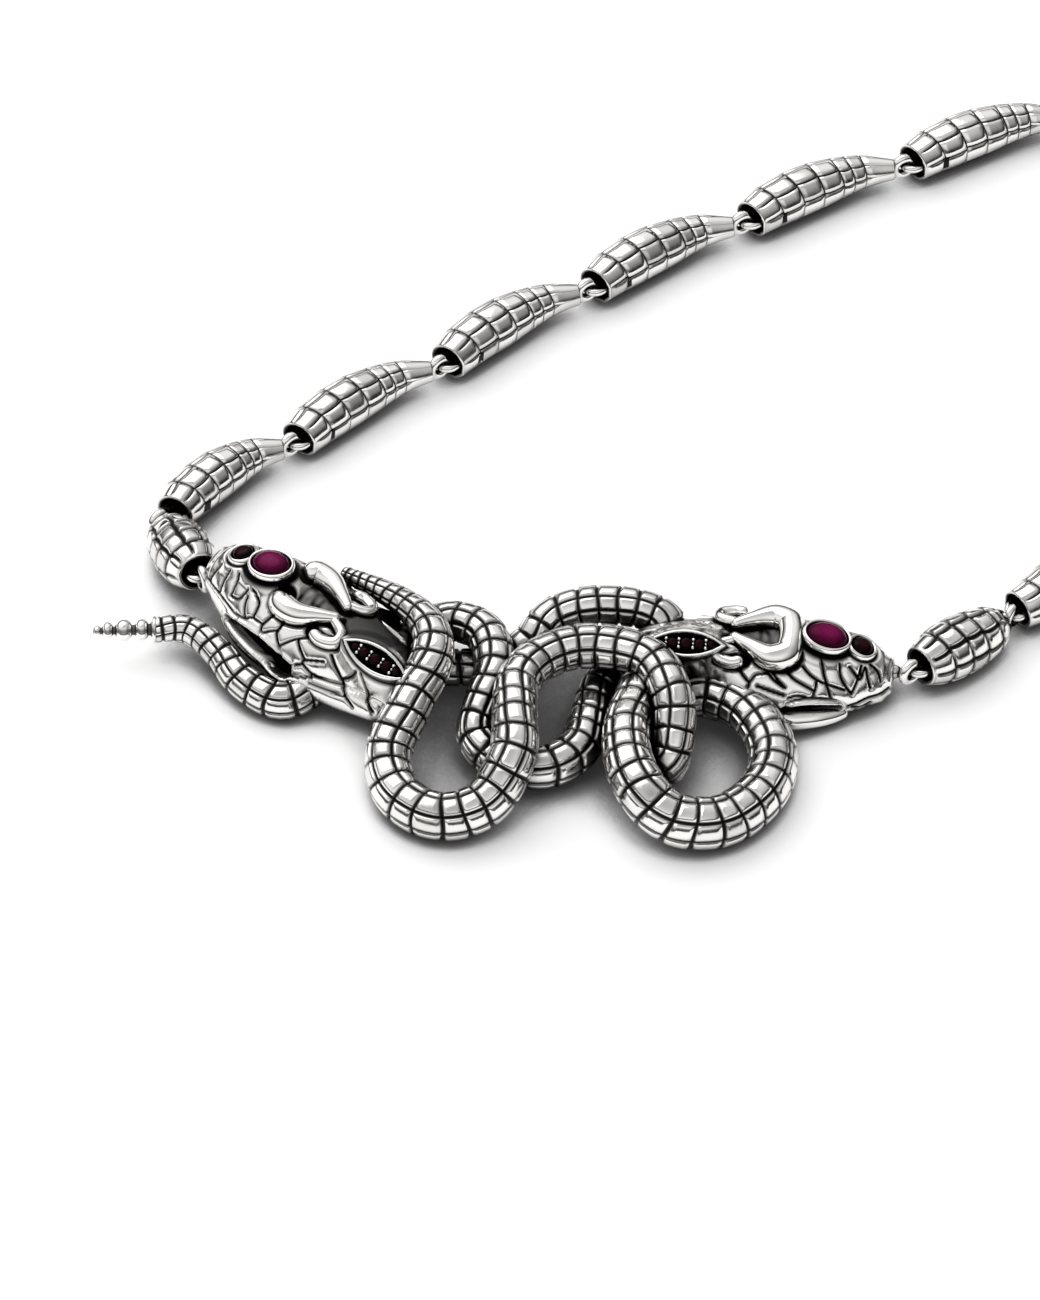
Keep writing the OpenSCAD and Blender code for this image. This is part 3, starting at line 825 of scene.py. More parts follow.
@dataclass
class Rattle:
    """Beads at the tip of the left snake's tail."""

    name: str = "rattle_beads"
    # Place along the tail's last direction, radius and half length of each bead.
    beads: Rows = (
        (0.0, 1.38, 0.4), (1.25, 1.1, 0.74), (3.05, 1.12, 0.9), (4.65, 0.9, 0.58), (5.7, 0.54, 0.42),
    )
    # Places and width, in degrees, of the painted dark reflection bands along the beads, and depth of the
    # shallow groove under them.
    painted_reflection_bands: tuple[float, float] = (38, 142)
    painted_reflection_width: float = 9.0
    painted_reflection_groove_depth: float = 0.06
    # Radii of the core that the beads sit on, at its foot and at its end.
    core: tuple[float, float] = (0.62, 0.3)

    def dress(self, finishes: Finishes) -> None:
        """Builds the beads and ties them to the frame.

        Args:
            finishes: the materials.
        """
        foot = np.array(LEFT_ROUTE[-1][:3], float)
        way = np.array([-1, -0.04, 0.0])
        side = unit(np.cross(way, UP))
        up = np.cross(side, unit(way))
        angle = whole_turn(32)
        t = np.linspace(0, math.pi, 22)
        # Painted dark reflection: a black band runs along both upper flanks of the beads, over a shallow
        # groove, standing for the dark surroundings that they mirror; their ends are black where they meet.
        painted_reflection = sum(np.exp(-(((np.degrees(angle) - middle) / self.painted_reflection_width) ** 2)) for middle in self.painted_reflection_bands)
        cast = Casting()
        for place, r, half in self.beads:
            x = place - half * np.cos(t)
            ends = ease((np.abs(x - place) / half - 0.74) / 0.2)
            dark = np.maximum(0.95 * ends[:, None], 0.9 * painted_reflection)
            reach = np.maximum(r * np.sin(t) ** 0.8, 0.02)[:, None] - self.painted_reflection_groove_depth * painted_reflection
            ring = rings(foot + x[:, None, None] * way, reach, angle, side, up)
            cast.grid(ring[:, ::-1], dark[:, ::-1], polish=Polish.BRIGHT)
        x = np.linspace(-0.2, 5.6, 12)
        reach = np.interp(x, [0, 6], self.core)[:, None]
        cast.grid(rings(foot + x[:, None, None] * way, reach, angle, side, up)[:, ::-1], 0.9)
        seat(cast.make(self.name, finishes.silvers), Slot.SILVER, "snakes")


# Engraved lines of the cheeks. Each point is the distance along the head and |y| - z, in millimetres.
LEFT_STROKES = [
    [(23.4, -3.9), (23.6, -2.8), (23.8, -1.3), (23.5, -0.6)],
    [(25, -1.2), (23.5, -0.6), (21.9, -0.2), (20, 0.4), (18.4, 1)],
    [(22, -4), (22.1, -2.2), (21.9, -0.4)], [(20.9, -4.4), (20.6, -3.1), (20.4, -1.1)],
    [(20.4, -1.1), (19.7, -1.2), (19.2, -1.9), (19, -3.4)], [(18.6, -2.6), (18.3, -1.2), (17.6, 0.3)],
    [(15.3, -3.4), (14.9, -2.9), (14.5, -3.4)], [(18.5, -3.7), (17.7, -3.3), (17, -2.6), (16.8, -0.7)],
    [(18.8, 0.6), (17.7, 0.4), (17.1, -0.3), (16.5, -0.5), (15.5, -0.5)],
    [(15.5, -0.5), (15.2, -1.6), (14.9, -2.9)], [(15.5, -0.5), (15.2, 0.8)],
    [(15.2, 0.8), (14.5, -0.2), (13.7, -1.2), (13.6, -2.6)],
    [(13.7, -1.2), (13.5, -0.4), (12.6, 0.9), (12, 1.8)], [(12.6, 0.4), (11.6, -1.4), (10.3, -3)],
    [(11.3, -1.6), (10.6, -0.6), (9.7, 0.4)], [(11.9, 2.5), (11, 2.3), (9.9, 1.2), (9.7, 0.4), (8, -0.9)],
    [(9.8, 1), (8.6, 1.6), (7, 1.2), (5.4, 0.4)],
    [(7.6, -2.4), (6.9, -1.4), (6.3, -0.7), (5.4, 0.4), (4.5, 1.6)],
    [(5.8, 0), (4.9, -1.2), (4.4, -2.4)], [(3.8, -2.6), (3, -1), (2.4, 0.4)],
    [(10.8, 3.7), (9.6, 3), (8.5, 2)], [(8.4, 2.8), (7.2, 2.4), (6, 2.2), (4.4, 1.6)],
    [(2.4, 0.4), (1.4, 1.4)], [(4.5, 1.6), (3.4, 2.4)],
]
RIGHT_STROKES = [
    [(18.1, -5), (18.5, -3), (18.8, -1.6), (19.1, -0.4), (19.4, 1)],
    [(16.4, -3.6), (17.2, -2.4), (18.3, -1.5), (20.7, -0.5)],
    [(14.8, -3.2), (15.2, -2.2), (15.9, -1.4), (17.6, -0.2)], [(17.9, -1.5), (17.8, -0.4), (17.6, 0.6)],
    [(20.1, -4.2), (20.2, -2.6), (20.7, -1.2), (21.4, 0)], [(22.2, -4.1), (21.9, -2), (21.4, 0)],
    [(21, -3.8), (21.6, -2.9), (22.2, -2.2), (22.6, -3.9), (22.9, -2.4), (23.2, -1)],
    [(23.1, -4.4), (23.7, -3.7), (24, -3), (24.2, -2)],
    [(12.6, -3.6), (13, -2.4), (13.7, -1.3), (14.6, -0.4)], [(13.3, -3.2), (13.8, -1.8), (14.8, -0.3)],
    [(10, -2.8), (10.6, -1.6), (11.2, -0.9), (11.8, -1.9), (12.9, -2.3)],
    [(11.2, -0.9), (11.1, 0.7), (12.2, 1.8), (13.9, 2.4)],
    [(12, -0.3), (13.4, 0.3), (14.7, 0.8)], [(15.2, 1.1), (16, 0.7), (16.8, 0.8)],
    [(20.3, 2.6), (21.2, 1.7), (21.9, 1.3), (23, 0.4), (24.1, -0.2), (25, -1.2)],
    [(14.6, 2.8), (15.1, 1.9), (16.3, 1.2), (17.8, 0.9), (19.6, 1), (20.8, 1.6), (20.6, 2.4), (20.1, 3.2)],
    [(21.5, 1.9), (22.4, 1.7), (23.2, 1)],
]


@dataclass(frozen=True)
class Carving:
    """What differs between the carving of the two heads.

    The mouth and the lip are rods as in CREST_ROWS. The back is matted and not engraved up to matt_to. The
    crest's lobes are thicker in front by crest_swell, and meet in a band where the crest is joined.
    """

    strokes: list[Rows]
    mouth: Rows
    lip: Rows
    matt_to: float
    crest_swell: float
    joined_crest: bool
    jaw_muscle: bool


LEFT_CARVING = Carving(
    strokes=LEFT_STROKES,
    mouth=[
        (19.4, 5.0, 3.1, 0.2), (17.5, 5.6, 3.3, 0.6), (15.1, 6.0, 3.4, 0.85), (13.1, 6.3, 3.3, 0.9),
        (11.2, 6.5, 3.1, 0.85),
    ],
    lip=[
        (20.6, 4.3, 2.2, 0.35), (18.8, 5.1, 1.9, 0.5), (17.0, 5.6, 1.8, 0.6), (15.0, 5.85, 1.7, 0.65),
        (12.4, 5.7, 1.5, 0.7),
    ],
    matt_to=1.0, crest_swell=0.12, joined_crest=False, jaw_muscle=True,
)
RIGHT_CARVING = Carving(
    strokes=RIGHT_STROKES,
    mouth=[(20, 4.9, 2.6, 0.4), (17.5, 5.8, 2.75, 0.8), (14.8, 6.5, 2.6, 0.85), (12.5, 6.7, 2.5, 0.5)],
    lip=[
        (21, 3.9, 1.5, 0.5), (19.4, 4.7, 1.5, 0.8), (17.3, 5.4, 1.6, 1.0), (14.8, 5.6, 1.5, 1.1),
        (12.4, 5.2, 1.5, 0.8),
    ],
    matt_to=9.6, crest_swell=0.25, joined_crest=True, jaw_muscle=False,
)


@dataclass
class Setting:
    """A bezel and its stones on a head: outline, sizes and place.

    The pose is x, y, z on the head, then tilt, roll and turn in degrees.
    """

    pose: tuple[float, ...]
    length: float
    width: float
    height: float
    seat_depth: float
    pointed: bool = False
    wall: float = 0.45

    def outline(self, grow: float, n: int = 96) -> Array:
        """Closed outline of the stone's seat, grown outward.

        Args:
            grow: distance to the outside.
            n: number of points.

        Returns:
            Points, counter-clockwise.
        """
        l, w = self.length + 2 * grow, self.width + 2 * grow
        if not self.pointed:
            a = whole_turn(n)
            return np.stack([l / 2 * np.cos(a), w / 2 * np.sin(a)], axis=1)
        l = self.length + 2.6 * grow
        r = (l * l / 4 + w * w / 4) / w
        span = math.asin(min(l / 2 / r, 1))
        # Points crowd to the two tips, where the outline turns.
        t = np.sin(np.linspace(-math.pi / 2, math.pi / 2, n // 2, endpoint=False)) * span
        low = np.stack([r * np.sin(t), r - r * np.cos(t) - w / 2], axis=1)
        return np.concatenate([low, -low])

    def place(self, p: Array) -> Array:
        """Moves points of the setting onto the head."""
        x, y, z, tilt, roll, turn = self.pose
        return p @ turned((roll, tilt, turn)).T + np.array([x, y, z])

    def local(self, p: Array, side: int) -> Array:
        """Points of the head in the frame of the setting.

        Args:
            p: the points.
            side: the side of the head that the setting is on.

        Returns:
            Distances along its length, across it and up its axis, in the last axis.
        """
        marks = self.place(np.array([[0, 0, 0], [1.0, 0, 0], [0, 1.0, 0], [0, 0, 1.0]])) * [1, side, 1]
        return (p - marks[0]) @ (marks[1:] - marks[0]).T

    def outside(self, u: Array, v: Array) -> Array:
        """Distance of points outside the bezel's wall.

        Args:
            u: their places along the setting.
            v: their places across it.

        Returns:
            The distances, less than 0 inside the wall.
        """
        l, w = self.length / 2 + self.wall * (1.3 if self.pointed else 1), self.width / 2 + self.wall
        if not self.pointed:
            return (np.hypot(u / l, v / w) - 1) * (l + w) / 2
        r = (l * l + w * w) / (2 * w)
        return np.hypot(u, np.abs(v) + r - w) - r

    def bezel(self) -> Rows:
        """Profile of the bezel from its foot outside, over its rim, to the floor inside.

        Returns:
            Distance out, height and blackening of each knot.
        """
        w, h = self.wall, self.height
        outer = [(w + 0.02, -0.9, 0.95), (w + 0.02, 0.1, 0.9), (w, h - 0.62, 0.85), (w, h - 0.44, 0.05)]
        rim = [
            (w - 0.03, h - 0.16, 0.0), (w - 0.12, h - 0.03, 0.0), (w * 0.5, h + 0.02, 0.0),
            (0.12, h - 0.02, 0.0),
        ]
        inner = [(0.04, h - 0.12, 0.25), (0.0, h - 0.24, 0.9), (-0.02, h - self.seat_depth - 0.1, 1.0)]
        return outer + rim + inner


@dataclass
class CutStones:
    """The cut stones of one setting, with rows of x, y, length and width.

    Below is the girdle's depth under the bezel's rim, and crown the height of the crown over the girdle.
    """

    name: str
    node: str
    slot: Slot
    setting: Setting
    side: int
    row: Rows
    below: float
    crown: float
    # Share of the girdle, height in crowns with an offset in millimetres, and redness of the edge against the
    # stone's painted lit heart.
    CUT = (
        (0.3, -0.85, -0.1, 1), (0.99, 0, -0.1, 1), (1.0, 0, 0, 1), (0.86, 0.52, 0, 0.75),
        (0.64, 0.9, 0, 0.45), (0.5, 1, 0, 0.3), (0.25, 1.03, 0, 0.1), (0.02, 1.04, 0, 0),
    )

    def dress(self, finishes: Finishes, placed: Placing) -> None:
        """Builds the stones and ties them to the frame.

        Args:
            finishes: the materials.
            placed: moves points of the head to the layout.
        """
        cast = Casting()
        girdle = self.setting.height - self.below
        for x, y, l, w in self.row:
            big = l > 1.6
            a = whole_turn(48 if big else 24)
            wedge = 2 * math.pi / (12 if big else 8)
            # Crown facets meet the girdle in shallow steps and the table in a flat face.
            facet = np.cos(wedge / 2) / np.cos((a % wedge) - wedge / 2)
            points, rim = [], []
            for share, rise, offset, edge in self.CUT:
                k = share * (facet if 0.4 < share < 0.9 else 1)
                z = np.full(len(a), girdle + rise * self.crown + offset)
                points.append(np.stack([x + l / 2 * k * np.cos(a), y + w / 2 * k * np.sin(a), z], axis=1))
                rim.append(np.full(len(a), edge))
            grid = placed(self.setting.place(np.array(points)) * [1, self.side, 1])
            cast.grid(facing(grid, self.side), np.array(rim), caps=(True, True))
        seat(cast.make(self.name, [finishes.stones[self.slot]]), self.slot, self.node)


@dataclass
class Head:
    """A snake's head with its crest, hooks, lips, settings and nose ring.

    The pose is x, y, z in the layout, then pitch and heading in degrees. Near is the side that the
    photograph shows: 1 for the head's left, -1 for its right.
    """

    name: str
    pose: tuple[float, ...]
    near: int
    eye_pose: tuple[float, ...]
    nose_point: tuple[float, ...]
    carving: Carving
    first_near_stone: int
    seed: int
    far_eye_pose: tuple[float, ...] = (6.2, 2.3, 4.9, -2, -48, 3)
    # Points of the skull's mesh along it and around it, and rings of its domed end.
    mesh: tuple[int, int, int] = (250, 248, 8)
    # Under this height the throat's small plates take the place of the cheek's lines.
    throat_z: float = 1.6

    def placed(self, p: Array) -> Array:
        """Moves points of the head to the layout."""
        x, y, z, pitch, heading = self.pose
        return p @ turned((0, -pitch, heading)).T + np.array([x, y, z])

    def nose_ring(self) -> Array:
        """Middle of the nose ring in the layout."""
        return self.placed(np.array([self.nose_point]))[0]

    def mirrored(self, rows: Rows, side: int) -> Rows:
        """Rows on the head's left (1) or right (-1)."""
        return [(x, side * y, z, r) for x, y, z, r in rows]

    def settings(self) -> list[tuple[Setting, int]]:
        """Sizes and places of the settings.

        Returns:
            The oval's, the nose stone's, the near eye's and the far eye's setting, each with its side.
        """
        eyes = [
            (Setting(pose, length=6.83, width=2.1, height=1.7, seat_depth=0.7, pointed=True), side)
            for pose, side in ((self.eye_pose, self.near), (self.far_eye_pose, -self.near))
        ]
        return [
            (Setting((18.3, 0, 6.8, 14, 0, 0), length=4.22, width=3.42, height=1.5, seat_depth=0.9), 1),
            (Setting((21.7, 0, 5.8, 22, 0, 0), length=2.32, width=2.32, height=1.3, seat_depth=0.75), 1),
            *eyes,
        ]

    def skull_base(self, share: Array, a: Array) -> Array:
        """Points of the smooth skull.

        Args:
            share: shares of its length.
            a: angles round it.

        Returns:
            The points.
        """
        rows = np.array(HEAD_ROWS)
        t = np.interp(np.clip(share, rows[0, 0], 1), rows[:, 0], np.arange(len(rows)))
        r = smooth_rows(rows, t.ravel()).reshape(*t.shape, 5)
        c, s = np.cos(a), np.sin(a)
        y = r[..., 1] * np.sign(c) * np.abs(c) ** 0.85 * (1 - 0.22 * np.clip(s, 0, 1))
        half = np.where(s > 0, r[..., 4] - r[..., 3], r[..., 3] - r[..., 2])
        z = r[..., 3] + half * np.sign(s) * np.abs(s) ** 0.88
        return np.stack([share * HEAD_L + 0 * y, y, z], axis=-1)

    def normals(self, p: Array) -> Array:
        """Outward normals of a grid of skull points."""
        return unit(np.cross(np.roll(p, -1, 1) - np.roll(p, 1, 1), np.gradient(p, axis=0)))

    def throat_plates(self, per_row: int = 15) -> Array:
        """Middles of the small plates on the throat and under the jaw.

        Args:
            per_row: plates round the head.

        Returns:
            Their points.
        """
        rng = np.random.default_rng(self.seed)
        spots = []
        for i, share in enumerate(np.arange(0.02, 1.0, 0.09)):
            for k in range(per_row):
                along = share + rng.uniform(-0.02, 0.02)
                spots.append((along, (k + 0.5 * (i % 2) + rng.uniform(-0.2, 0.2)) * 2 * math.pi / per_row))
        share, a = np.array(spots).T
        return self.skull_base(share, a)

    def plate_edges(self, p: Array) -> Array:
        """Distance from each point to the nearest edge between two throat plates.

        Args:
            p: points of the skull.

        Returns:
            One distance per point.
        """
        seeds = self.throat_plates()
        flat = p.reshape(-1, 3)
        d = np.linalg.norm(flat[:, None] - seeds[None], axis=2)
        two = np.argpartition(d, 2, axis=1)[:, :2]
        d1, d2 = d[np.arange(len(flat)), two[:, 0]], d[np.arange(len(flat)), two[:, 1]]
        gap = np.linalg.norm(seeds[two[:, 0]] - seeds[two[:, 1]], axis=1)
        return (np.abs(d2**2 - d1**2) / (2 * np.maximum(gap, 0.3))).reshape(p.shape[:2])

    def stroke_distance(self, p: Array) -> Array:
        """Distance from each point to the nearest engraved line, seen half from above, half from the side.

        Args:
            p: points of the skull.

        Returns:
            One distance per point.
        """
        x, w = p[..., 0], (np.abs(p[..., 1]) - p[..., 2]) / math.sqrt(2)
        best = np.full(x.shape, 9.0)
        for line in self.carving.strokes:
            rows = np.array(line, float)
            rows[:, 1] /= math.sqrt(2)
            t = np.linspace(0, len(rows) - 1, 6 * (len(rows) - 1) + 1)
            soft = smooth_rows(rows, t) if len(rows) > 2 else rows
            for (ax, aw), (bx, bw) in zip(soft[:-1], soft[1:]):
                ex, ew = bx - ax, bw - aw
                f = np.clip(((x - ax) * ex + (w - aw) * ew) / max(ex * ex + ew * ew, 1e-9), 0, 1)
                best = np.minimum(best, np.hypot(x - ax - f * ex, w - aw - f * ew))
        return best

    def swollen(self, p: Array, normal: Array, rows: Rows, span: tuple[float, float]) -> Array:
        """How far the skull is pushed out so that it wraps a rod that lies in it.

        Args:
            p: points of the smooth skull.
            normal: its normals.
            rows: the rod's rows.
            span: distances along the head between which the rod counts.

        Returns:
            Distance along the normal for each point.
        """
        path = Path(rows)
        out = np.zeros(p.shape[:2])
        for q, r in zip(path.points[::4], path.radii[::4]):
            v = p - q
            along = (v * normal).sum(-1)
            inside = along**2 - (v**2).sum(-1) + r * r
            reach = -along + np.sqrt(np.maximum(inside, 0))
            keep = float(ease((q[0] - span[0]) / 1.5) * ease((span[1] - q[0]) / 1.5))
            out = np.maximum(out, np.where(inside > 0, np.clip(reach, 0, 1.8) * keep, 0))
        return out

    def near_path(self, p: Array, rows: Rows) -> tuple[Array, Array]:
        """Distance from each point to a path.

        Args:
            p: the points.
            rows: the path's rows.

        Returns:
            The distances, and the path's radius at its nearest place.
        """
        path = Path(rows)
        q, r = path.points[::3], path.radii[::3]
        d = np.linalg.norm(p.reshape(-1, 1, 3) - q[None], axis=2)
        i = d.argmin(1)
        return d[np.arange(len(i)), i].reshape(p.shape[:-1]), r[i].reshape(p.shape[:-1])

    def mound(self, p: Array) -> Array:
        """Skull points raised round the settings, so that only a bezel's rim stands free.

        Args:
            p: points of the skull.

        Returns:
            The raised points.
        """
        for one, side in self.settings():
            u, v, up = np.moveaxis(one.local(p, side), -1, 0)
            want = one.height - (0.62 if one.pointed else 0.5) - up
            near = 1 - ease(one.outside(u, v) / (1.5 if one.pointed else 1.2))
            rise = np.clip(want, 0, 1.6) * near * (np.abs(up - one.height + 1) < 3.5)
            axis = one.place(np.array([[0, 0, 0], [0, 0, 1.0]])) * [1, side, 1]
            p = p + (axis[1] - axis[0]) * rise[..., None]
        return p

    def skull_points(self) -> tuple[Array, Array]:
        """Points of the skull before it is engraved.

        Returns:
            The points and the strength of the jaw muscle at each.
        """
        along, round_it, dome = self.mesh
        t = np.linspace(0.2, math.pi / 2, dome)
        share = np.concatenate([np.linspace(-0.06, 1.0, along), 1.0 + 0.012 * np.sin(t)])
        shrink = np.concatenate([np.ones(along), np.cos(t)])
        a = whole_turn(round_it)
        p = self.skull_base(share[:, None] + 0 * a, a[None, :] + 0 * share[:, None])
        middle = p.mean(1, keepdims=True)[..., 1:]
        p[..., 1:] = middle + (p[..., 1:] - middle) * shrink[:, None, None]
        normal = self.normals(p)
        for side in (1, -1):
            p = p + normal * self.swollen(p, normal, self.mirrored(JAW_ROWS, side), JAW_SPAN)[..., None]
        p = self.mound(p)
        # The jaw muscle of the left head fills the view between its far cheek and the thin tail behind it.
        away = np.linalg.norm(p - MUSCLE, axis=-1) / MUSCLE_REACH
        muscle = np.exp(-(away**2)) * self.carving.jaw_muscle
        return p + self.normals(p) * MUSCLE_RISE * muscle[..., None], muscle

    def engraving(self, p: Array) -> tuple[Array, Array]:
        """Cheek lines, throat plates, matted back and the sunk crown between the crest's lobes.

        Args:
            p: points of the skull.

        Returns:
            Height over the skull and patina of each point.
        """
        x, y, z = np.moveaxis(p, -1, 0)
        below = ease((self.throat_z - z) / 0.8)
        edge = np.where(below > 0.5, self.plate_edges(p), self.stroke_distance(p))
        groove = 1 - ease((edge - 0.11) / 0.1)
        h = 0.06 * ease(edge / 0.7) - 0.22 * groove
        patina_and_painted_shade = np.maximum(groove, 0.22 * (1 - ease(edge / 0.45)))
        grain = blurred(blurred(np.random.default_rng(3).uniform(-1, 1, p.shape[:2]), 2.2).T, 2.2).T * 5
        matt = ease((self.carving.matt_to - x) / 1.2) * ease(x + 2.0) * (z > self.throat_z)
        wedge = ease((0.7 + (x - 9) * 0.33 - np.abs(y)) / 0.4)
        recess = ease((14.7 - x) / 0.6) * ease((x - 8.6) / 1.2) * wedge * (z > 5)
        h = h * (1 - matt) + matt * 0.2 * grain
        patina_and_painted_shade = patina_and_painted_shade * (1 - matt) + matt * np.clip(0.4 + 0.8 * grain, 0, 1)
        h = h * (1 - recess) + recess * (-0.35 + 0.05 * grain)
        patina_and_painted_shade = patina_and_painted_shade * (1 - recess) + recess * np.clip(0.93 + 0.2 * grain, 0, 1)
        return h, patina_and_painted_shade

    def bedding(self, p: Array, h: Array, patina_and_painted_shade: Array) -> tuple[Array, Array]:
        """Sinks the skull beside its rods and paints shade there, and opens the mouth's corners.

        Args:
            p: points of the skull.
            h: their height.
            patina_and_painted_shade: their patina.

        Returns:
            The new height and patina.
        """
        for side in (1, -1):
            for rows, reach in ((CREST_ROWS, 0.35), (HOOK_ROWS, 0.3)):
                dist, r = self.near_path(p, self.mirrored(rows, side))
                # Painted shade: the skull darkens beside the crest and the hooks, where they shadow it.
                shade = 1 - ease((dist - r - 0.2) / reach)
                patina_and_painted_shade = np.maximum(patina_and_painted_shade, shade)
                h = h - 0.15 * shade
            dist, r = self.near_path(p, self.mirrored(self.carving.mouth, side))
            slit = 1 - ease((dist - 0.95 * r) / 0.3)
            lip = np.exp(-(((dist - 0.95 * r - 0.45) / 0.22) ** 2)) * (p[..., 0] > 10.5)
            h = h * (1 - slit) - 1.1 * slit + 0.16 * lip
            patina_and_painted_shade = np.maximum(patina_and_painted_shade * (1 - 0.9 * lip), slit)
        return h, patina_and_painted_shade

    def skull(self, cast: Casting) -> None:
        """Adds the skull with its engraved plates, its recess and its open mouth corners.

        Args:
            cast: the head's casting.
        """
        p, muscle = self.skull_points()
        h, patina_and_painted_shade = self.bedding(p, *self.engraving(p))
        x, y, z = np.moveaxis(p, -1, 0)
        if self.carving.jaw_muscle:
            # Painted shade: behind the left hooks the head is painted black, on the muscle and on the crown,
            # where it lies in deep shade.
            crown = ease((9.4 - x) / 0.8) * ease((x - 1.5) / 1.5) * ease((2.8 - np.abs(y)) / 0.8) * (z > 5)
            patina_and_painted_shade = np.maximum(np.maximum(patina_and_painted_shade, ease(muscle / 0.3)), 0.93 * crown)
        collars = (0.5, 0.15, 0.15, 0.15)
        for (one, side), clear in zip(self.settings(), collars):
            u, v, up = np.moveaxis(one.local(p, side), -1, 0)
            collar = (1 - ease((one.outside(u, v) - clear) / 0.35)) * (up > -2.5)
            patina_and_painted_shade = np.maximum(patina_and_painted_shade, collar)
            h = h * (1 - collar) - 0.12 * collar
        # The relief fades where the skull runs into the neck.
        h = h * ease((x + 1) / 3)
        ring = self.placed(p + self.normals(p) * h[..., None])
        cast.grid(ring, patina_and_painted_shade, caps=(True, True), polish=Polish.BRUSHED)

    def ridges(self, cast: Casting) -> None:
        """Adds the polished crest lobes, the hooks and the lips on both sides.

        Args:
            cast: the head's casting.
        """
        swell = self.carving.crest_swell
        lobe = [
            (x, y, z + 0.15, r * (1.04 + swell * min(max((x - 11) / 3, 0), 1)))
            for x, y, z, r in CREST_ROWS
        ]
        hook = [(x, y, z + 0.15, r * 1.06) for x, y, z, r in HOOK_ROWS]
        rods = [hook]
        if self.carving.joined_crest:
            half = lobe[:1:-1] + [(14.6, 2.3, 7.3, 1.45), (14.95, 1.3, 7.45, 1.4)]
            band = half + [(15.05, 0, 7.5, 1.38)] + self.mirrored(half[::-1], -1)
            cast.tube(band, 28, 0.12, place=self.placed)
        else:
            rods = [lobe, hook]
        for side in (1, -1):
            for rows in rods:
                cast.tube(self.mirrored(rows, side), 28, 0.12, place=self.placed)
            cast.tube(self.mirrored(self.carving.lip, side), 28, 0.2, place=self.placed)

    def bezels(self, cast: Casting) -> None:
        """Adds the four bezels with their black floors and the silver grains of the eyes.

        Args:
            cast: the head's casting.
        """
        for one, side in self.settings():
            profile = one.bezel()
            outlines = [one.outline(out) for out, _, _ in profile]
            points = [np.column_stack([o, np.full(len(o), z)]) for o, (_, z, _) in zip(outlines, profile)]
            dark = np.array([np.full(len(o), shade) for o, (_, _, shade) in zip(outlines, profile)])
            grid = self.placed(one.place(np.array(points)) * [1, side, 1])
            cast.grid(facing(grid, side), dark, caps=(False, True), polish=Polish.BRIGHT)
            if one.pointed:
                self.grains(cast, one, side)

    def grains(self, cast: Casting, one: Setting, side: int) -> None:
        """Adds the small silver grains that hold an eye's stones.

        Args:
            cast: the head's casting.
            one: the eye's setting.
            side: its side of the head.
        """
        t = np.linspace(0.02, math.pi / 2, 7)[:, None]
        a = whole_turn(12)
        foot = one.height - 0.2
        for (xa, da), (xb, db) in zip(PAVE_ROW[:-1], PAVE_ROW[1:]):
            middle = (xa + da / 2 + xb - db / 2) / 2
            for dy, r in GRAINS:
                x, y = middle + r * np.cos(t) * np.cos(a), dy + r * np.cos(t) * np.sin(a)
                dome = np.stack([x, y, foot + r * 1.2 * np.sin(t) + 0 * a], axis=-1)
                grid = self.placed(one.place(dome) * [1, side, 1])
                cast.grid(facing(grid, side), caps=(False, True), polish=Polish.BRIGHT)

    def nose(self, cast: Casting, next_heading: float) -> None:
        """Adds the lug and the ring on the nose.

        Args:
            cast: the head's casting.
            next_heading: heading of the barrel link that hangs there.
        """
        px, py, pz = self.nose_point
        lug = [(HEAD_L - 2.2, py * 0.6, (pz + 3) / 2, 1.0), (HEAD_L - 0.4, py * 0.8, (pz * 2 + 3) / 3, 0.85)]
        cast.tube(lug + [(px - EYE_R + 0.1, py, pz, 0.6)], 20, 0.2, Polish.OXIDISED, self.placed)
        cast.ring(self.nose_ring(), next_heading)

    def dress(self, finishes: Finishes, next_heading: float) -> None:
        """Builds the head and its stones and ties them to the frame.

        Args:
            finishes: the materials.
            next_heading: heading of the barrel link that hangs on the nose.
        """
        cast = Casting()
        self.skull(cast)
        self.ridges(cast)
        self.bezels(cast)
        self.nose(cast, next_heading)
        seat(cast.make(self.name, finishes.silvers), Slot.SILVER, "snakes")
        word = self.name.removesuffix("_head")
        near_row = [(x, 0, d, d) for x, d in PAVE_ROW[self.first_near_stone :]]
        far_row = [(x, 0, d, d) for x, d in PAVE_ROW[2:]]
        cuts = [
            ("oval_stone", f"ruby_{word}", Slot.RUBY, [(0, 0, 4.1, 3.3)], 0.1, 0.62),
            ("nose_stone", f"nose_stone_{word}", Slot.GARNET, [(0, 0, 2.2, 2.2)], 0.1, 0.42),
            ("near_eye_stones", f"eye_stones_{word}_near", Slot.GARNET, near_row, 0.15, 0.28),
            ("far_eye_stones", f"eye_stones_{word}_far", Slot.GARNET, far_row, 0.15, 0.28),
        ]
        for (one, side), (what, node, slot, row, below, crown) in zip(self.settings(), cuts):
            stones = CutStones(f"{self.name}_{what}", node, slot, one, side, row, below, crown)
            stones.dress(finishes, self.placed)


def wire_loop(legs: list[float], wire: float) -> Rows:
    """Rows of a loop of wire that lies in the XY plane and passes round a ring at the origin.

    Args:
        legs: distances along X of the knots of its two legs, from their far end.
        wire: radius of the wire.

    Returns:
        The rows.
    """
    arc = np.radians(np.linspace(90, 270, 13))
    bend = [(EYE_R + LOOP_R * math.cos(t), LOOP_R * math.sin(t), 0, wire) for t in arc]
    return [(x, LOOP_R, 0, wire) for x in legs] + bend + [(x, -LOOP_R, 0, wire) for x in legs[::-1]]


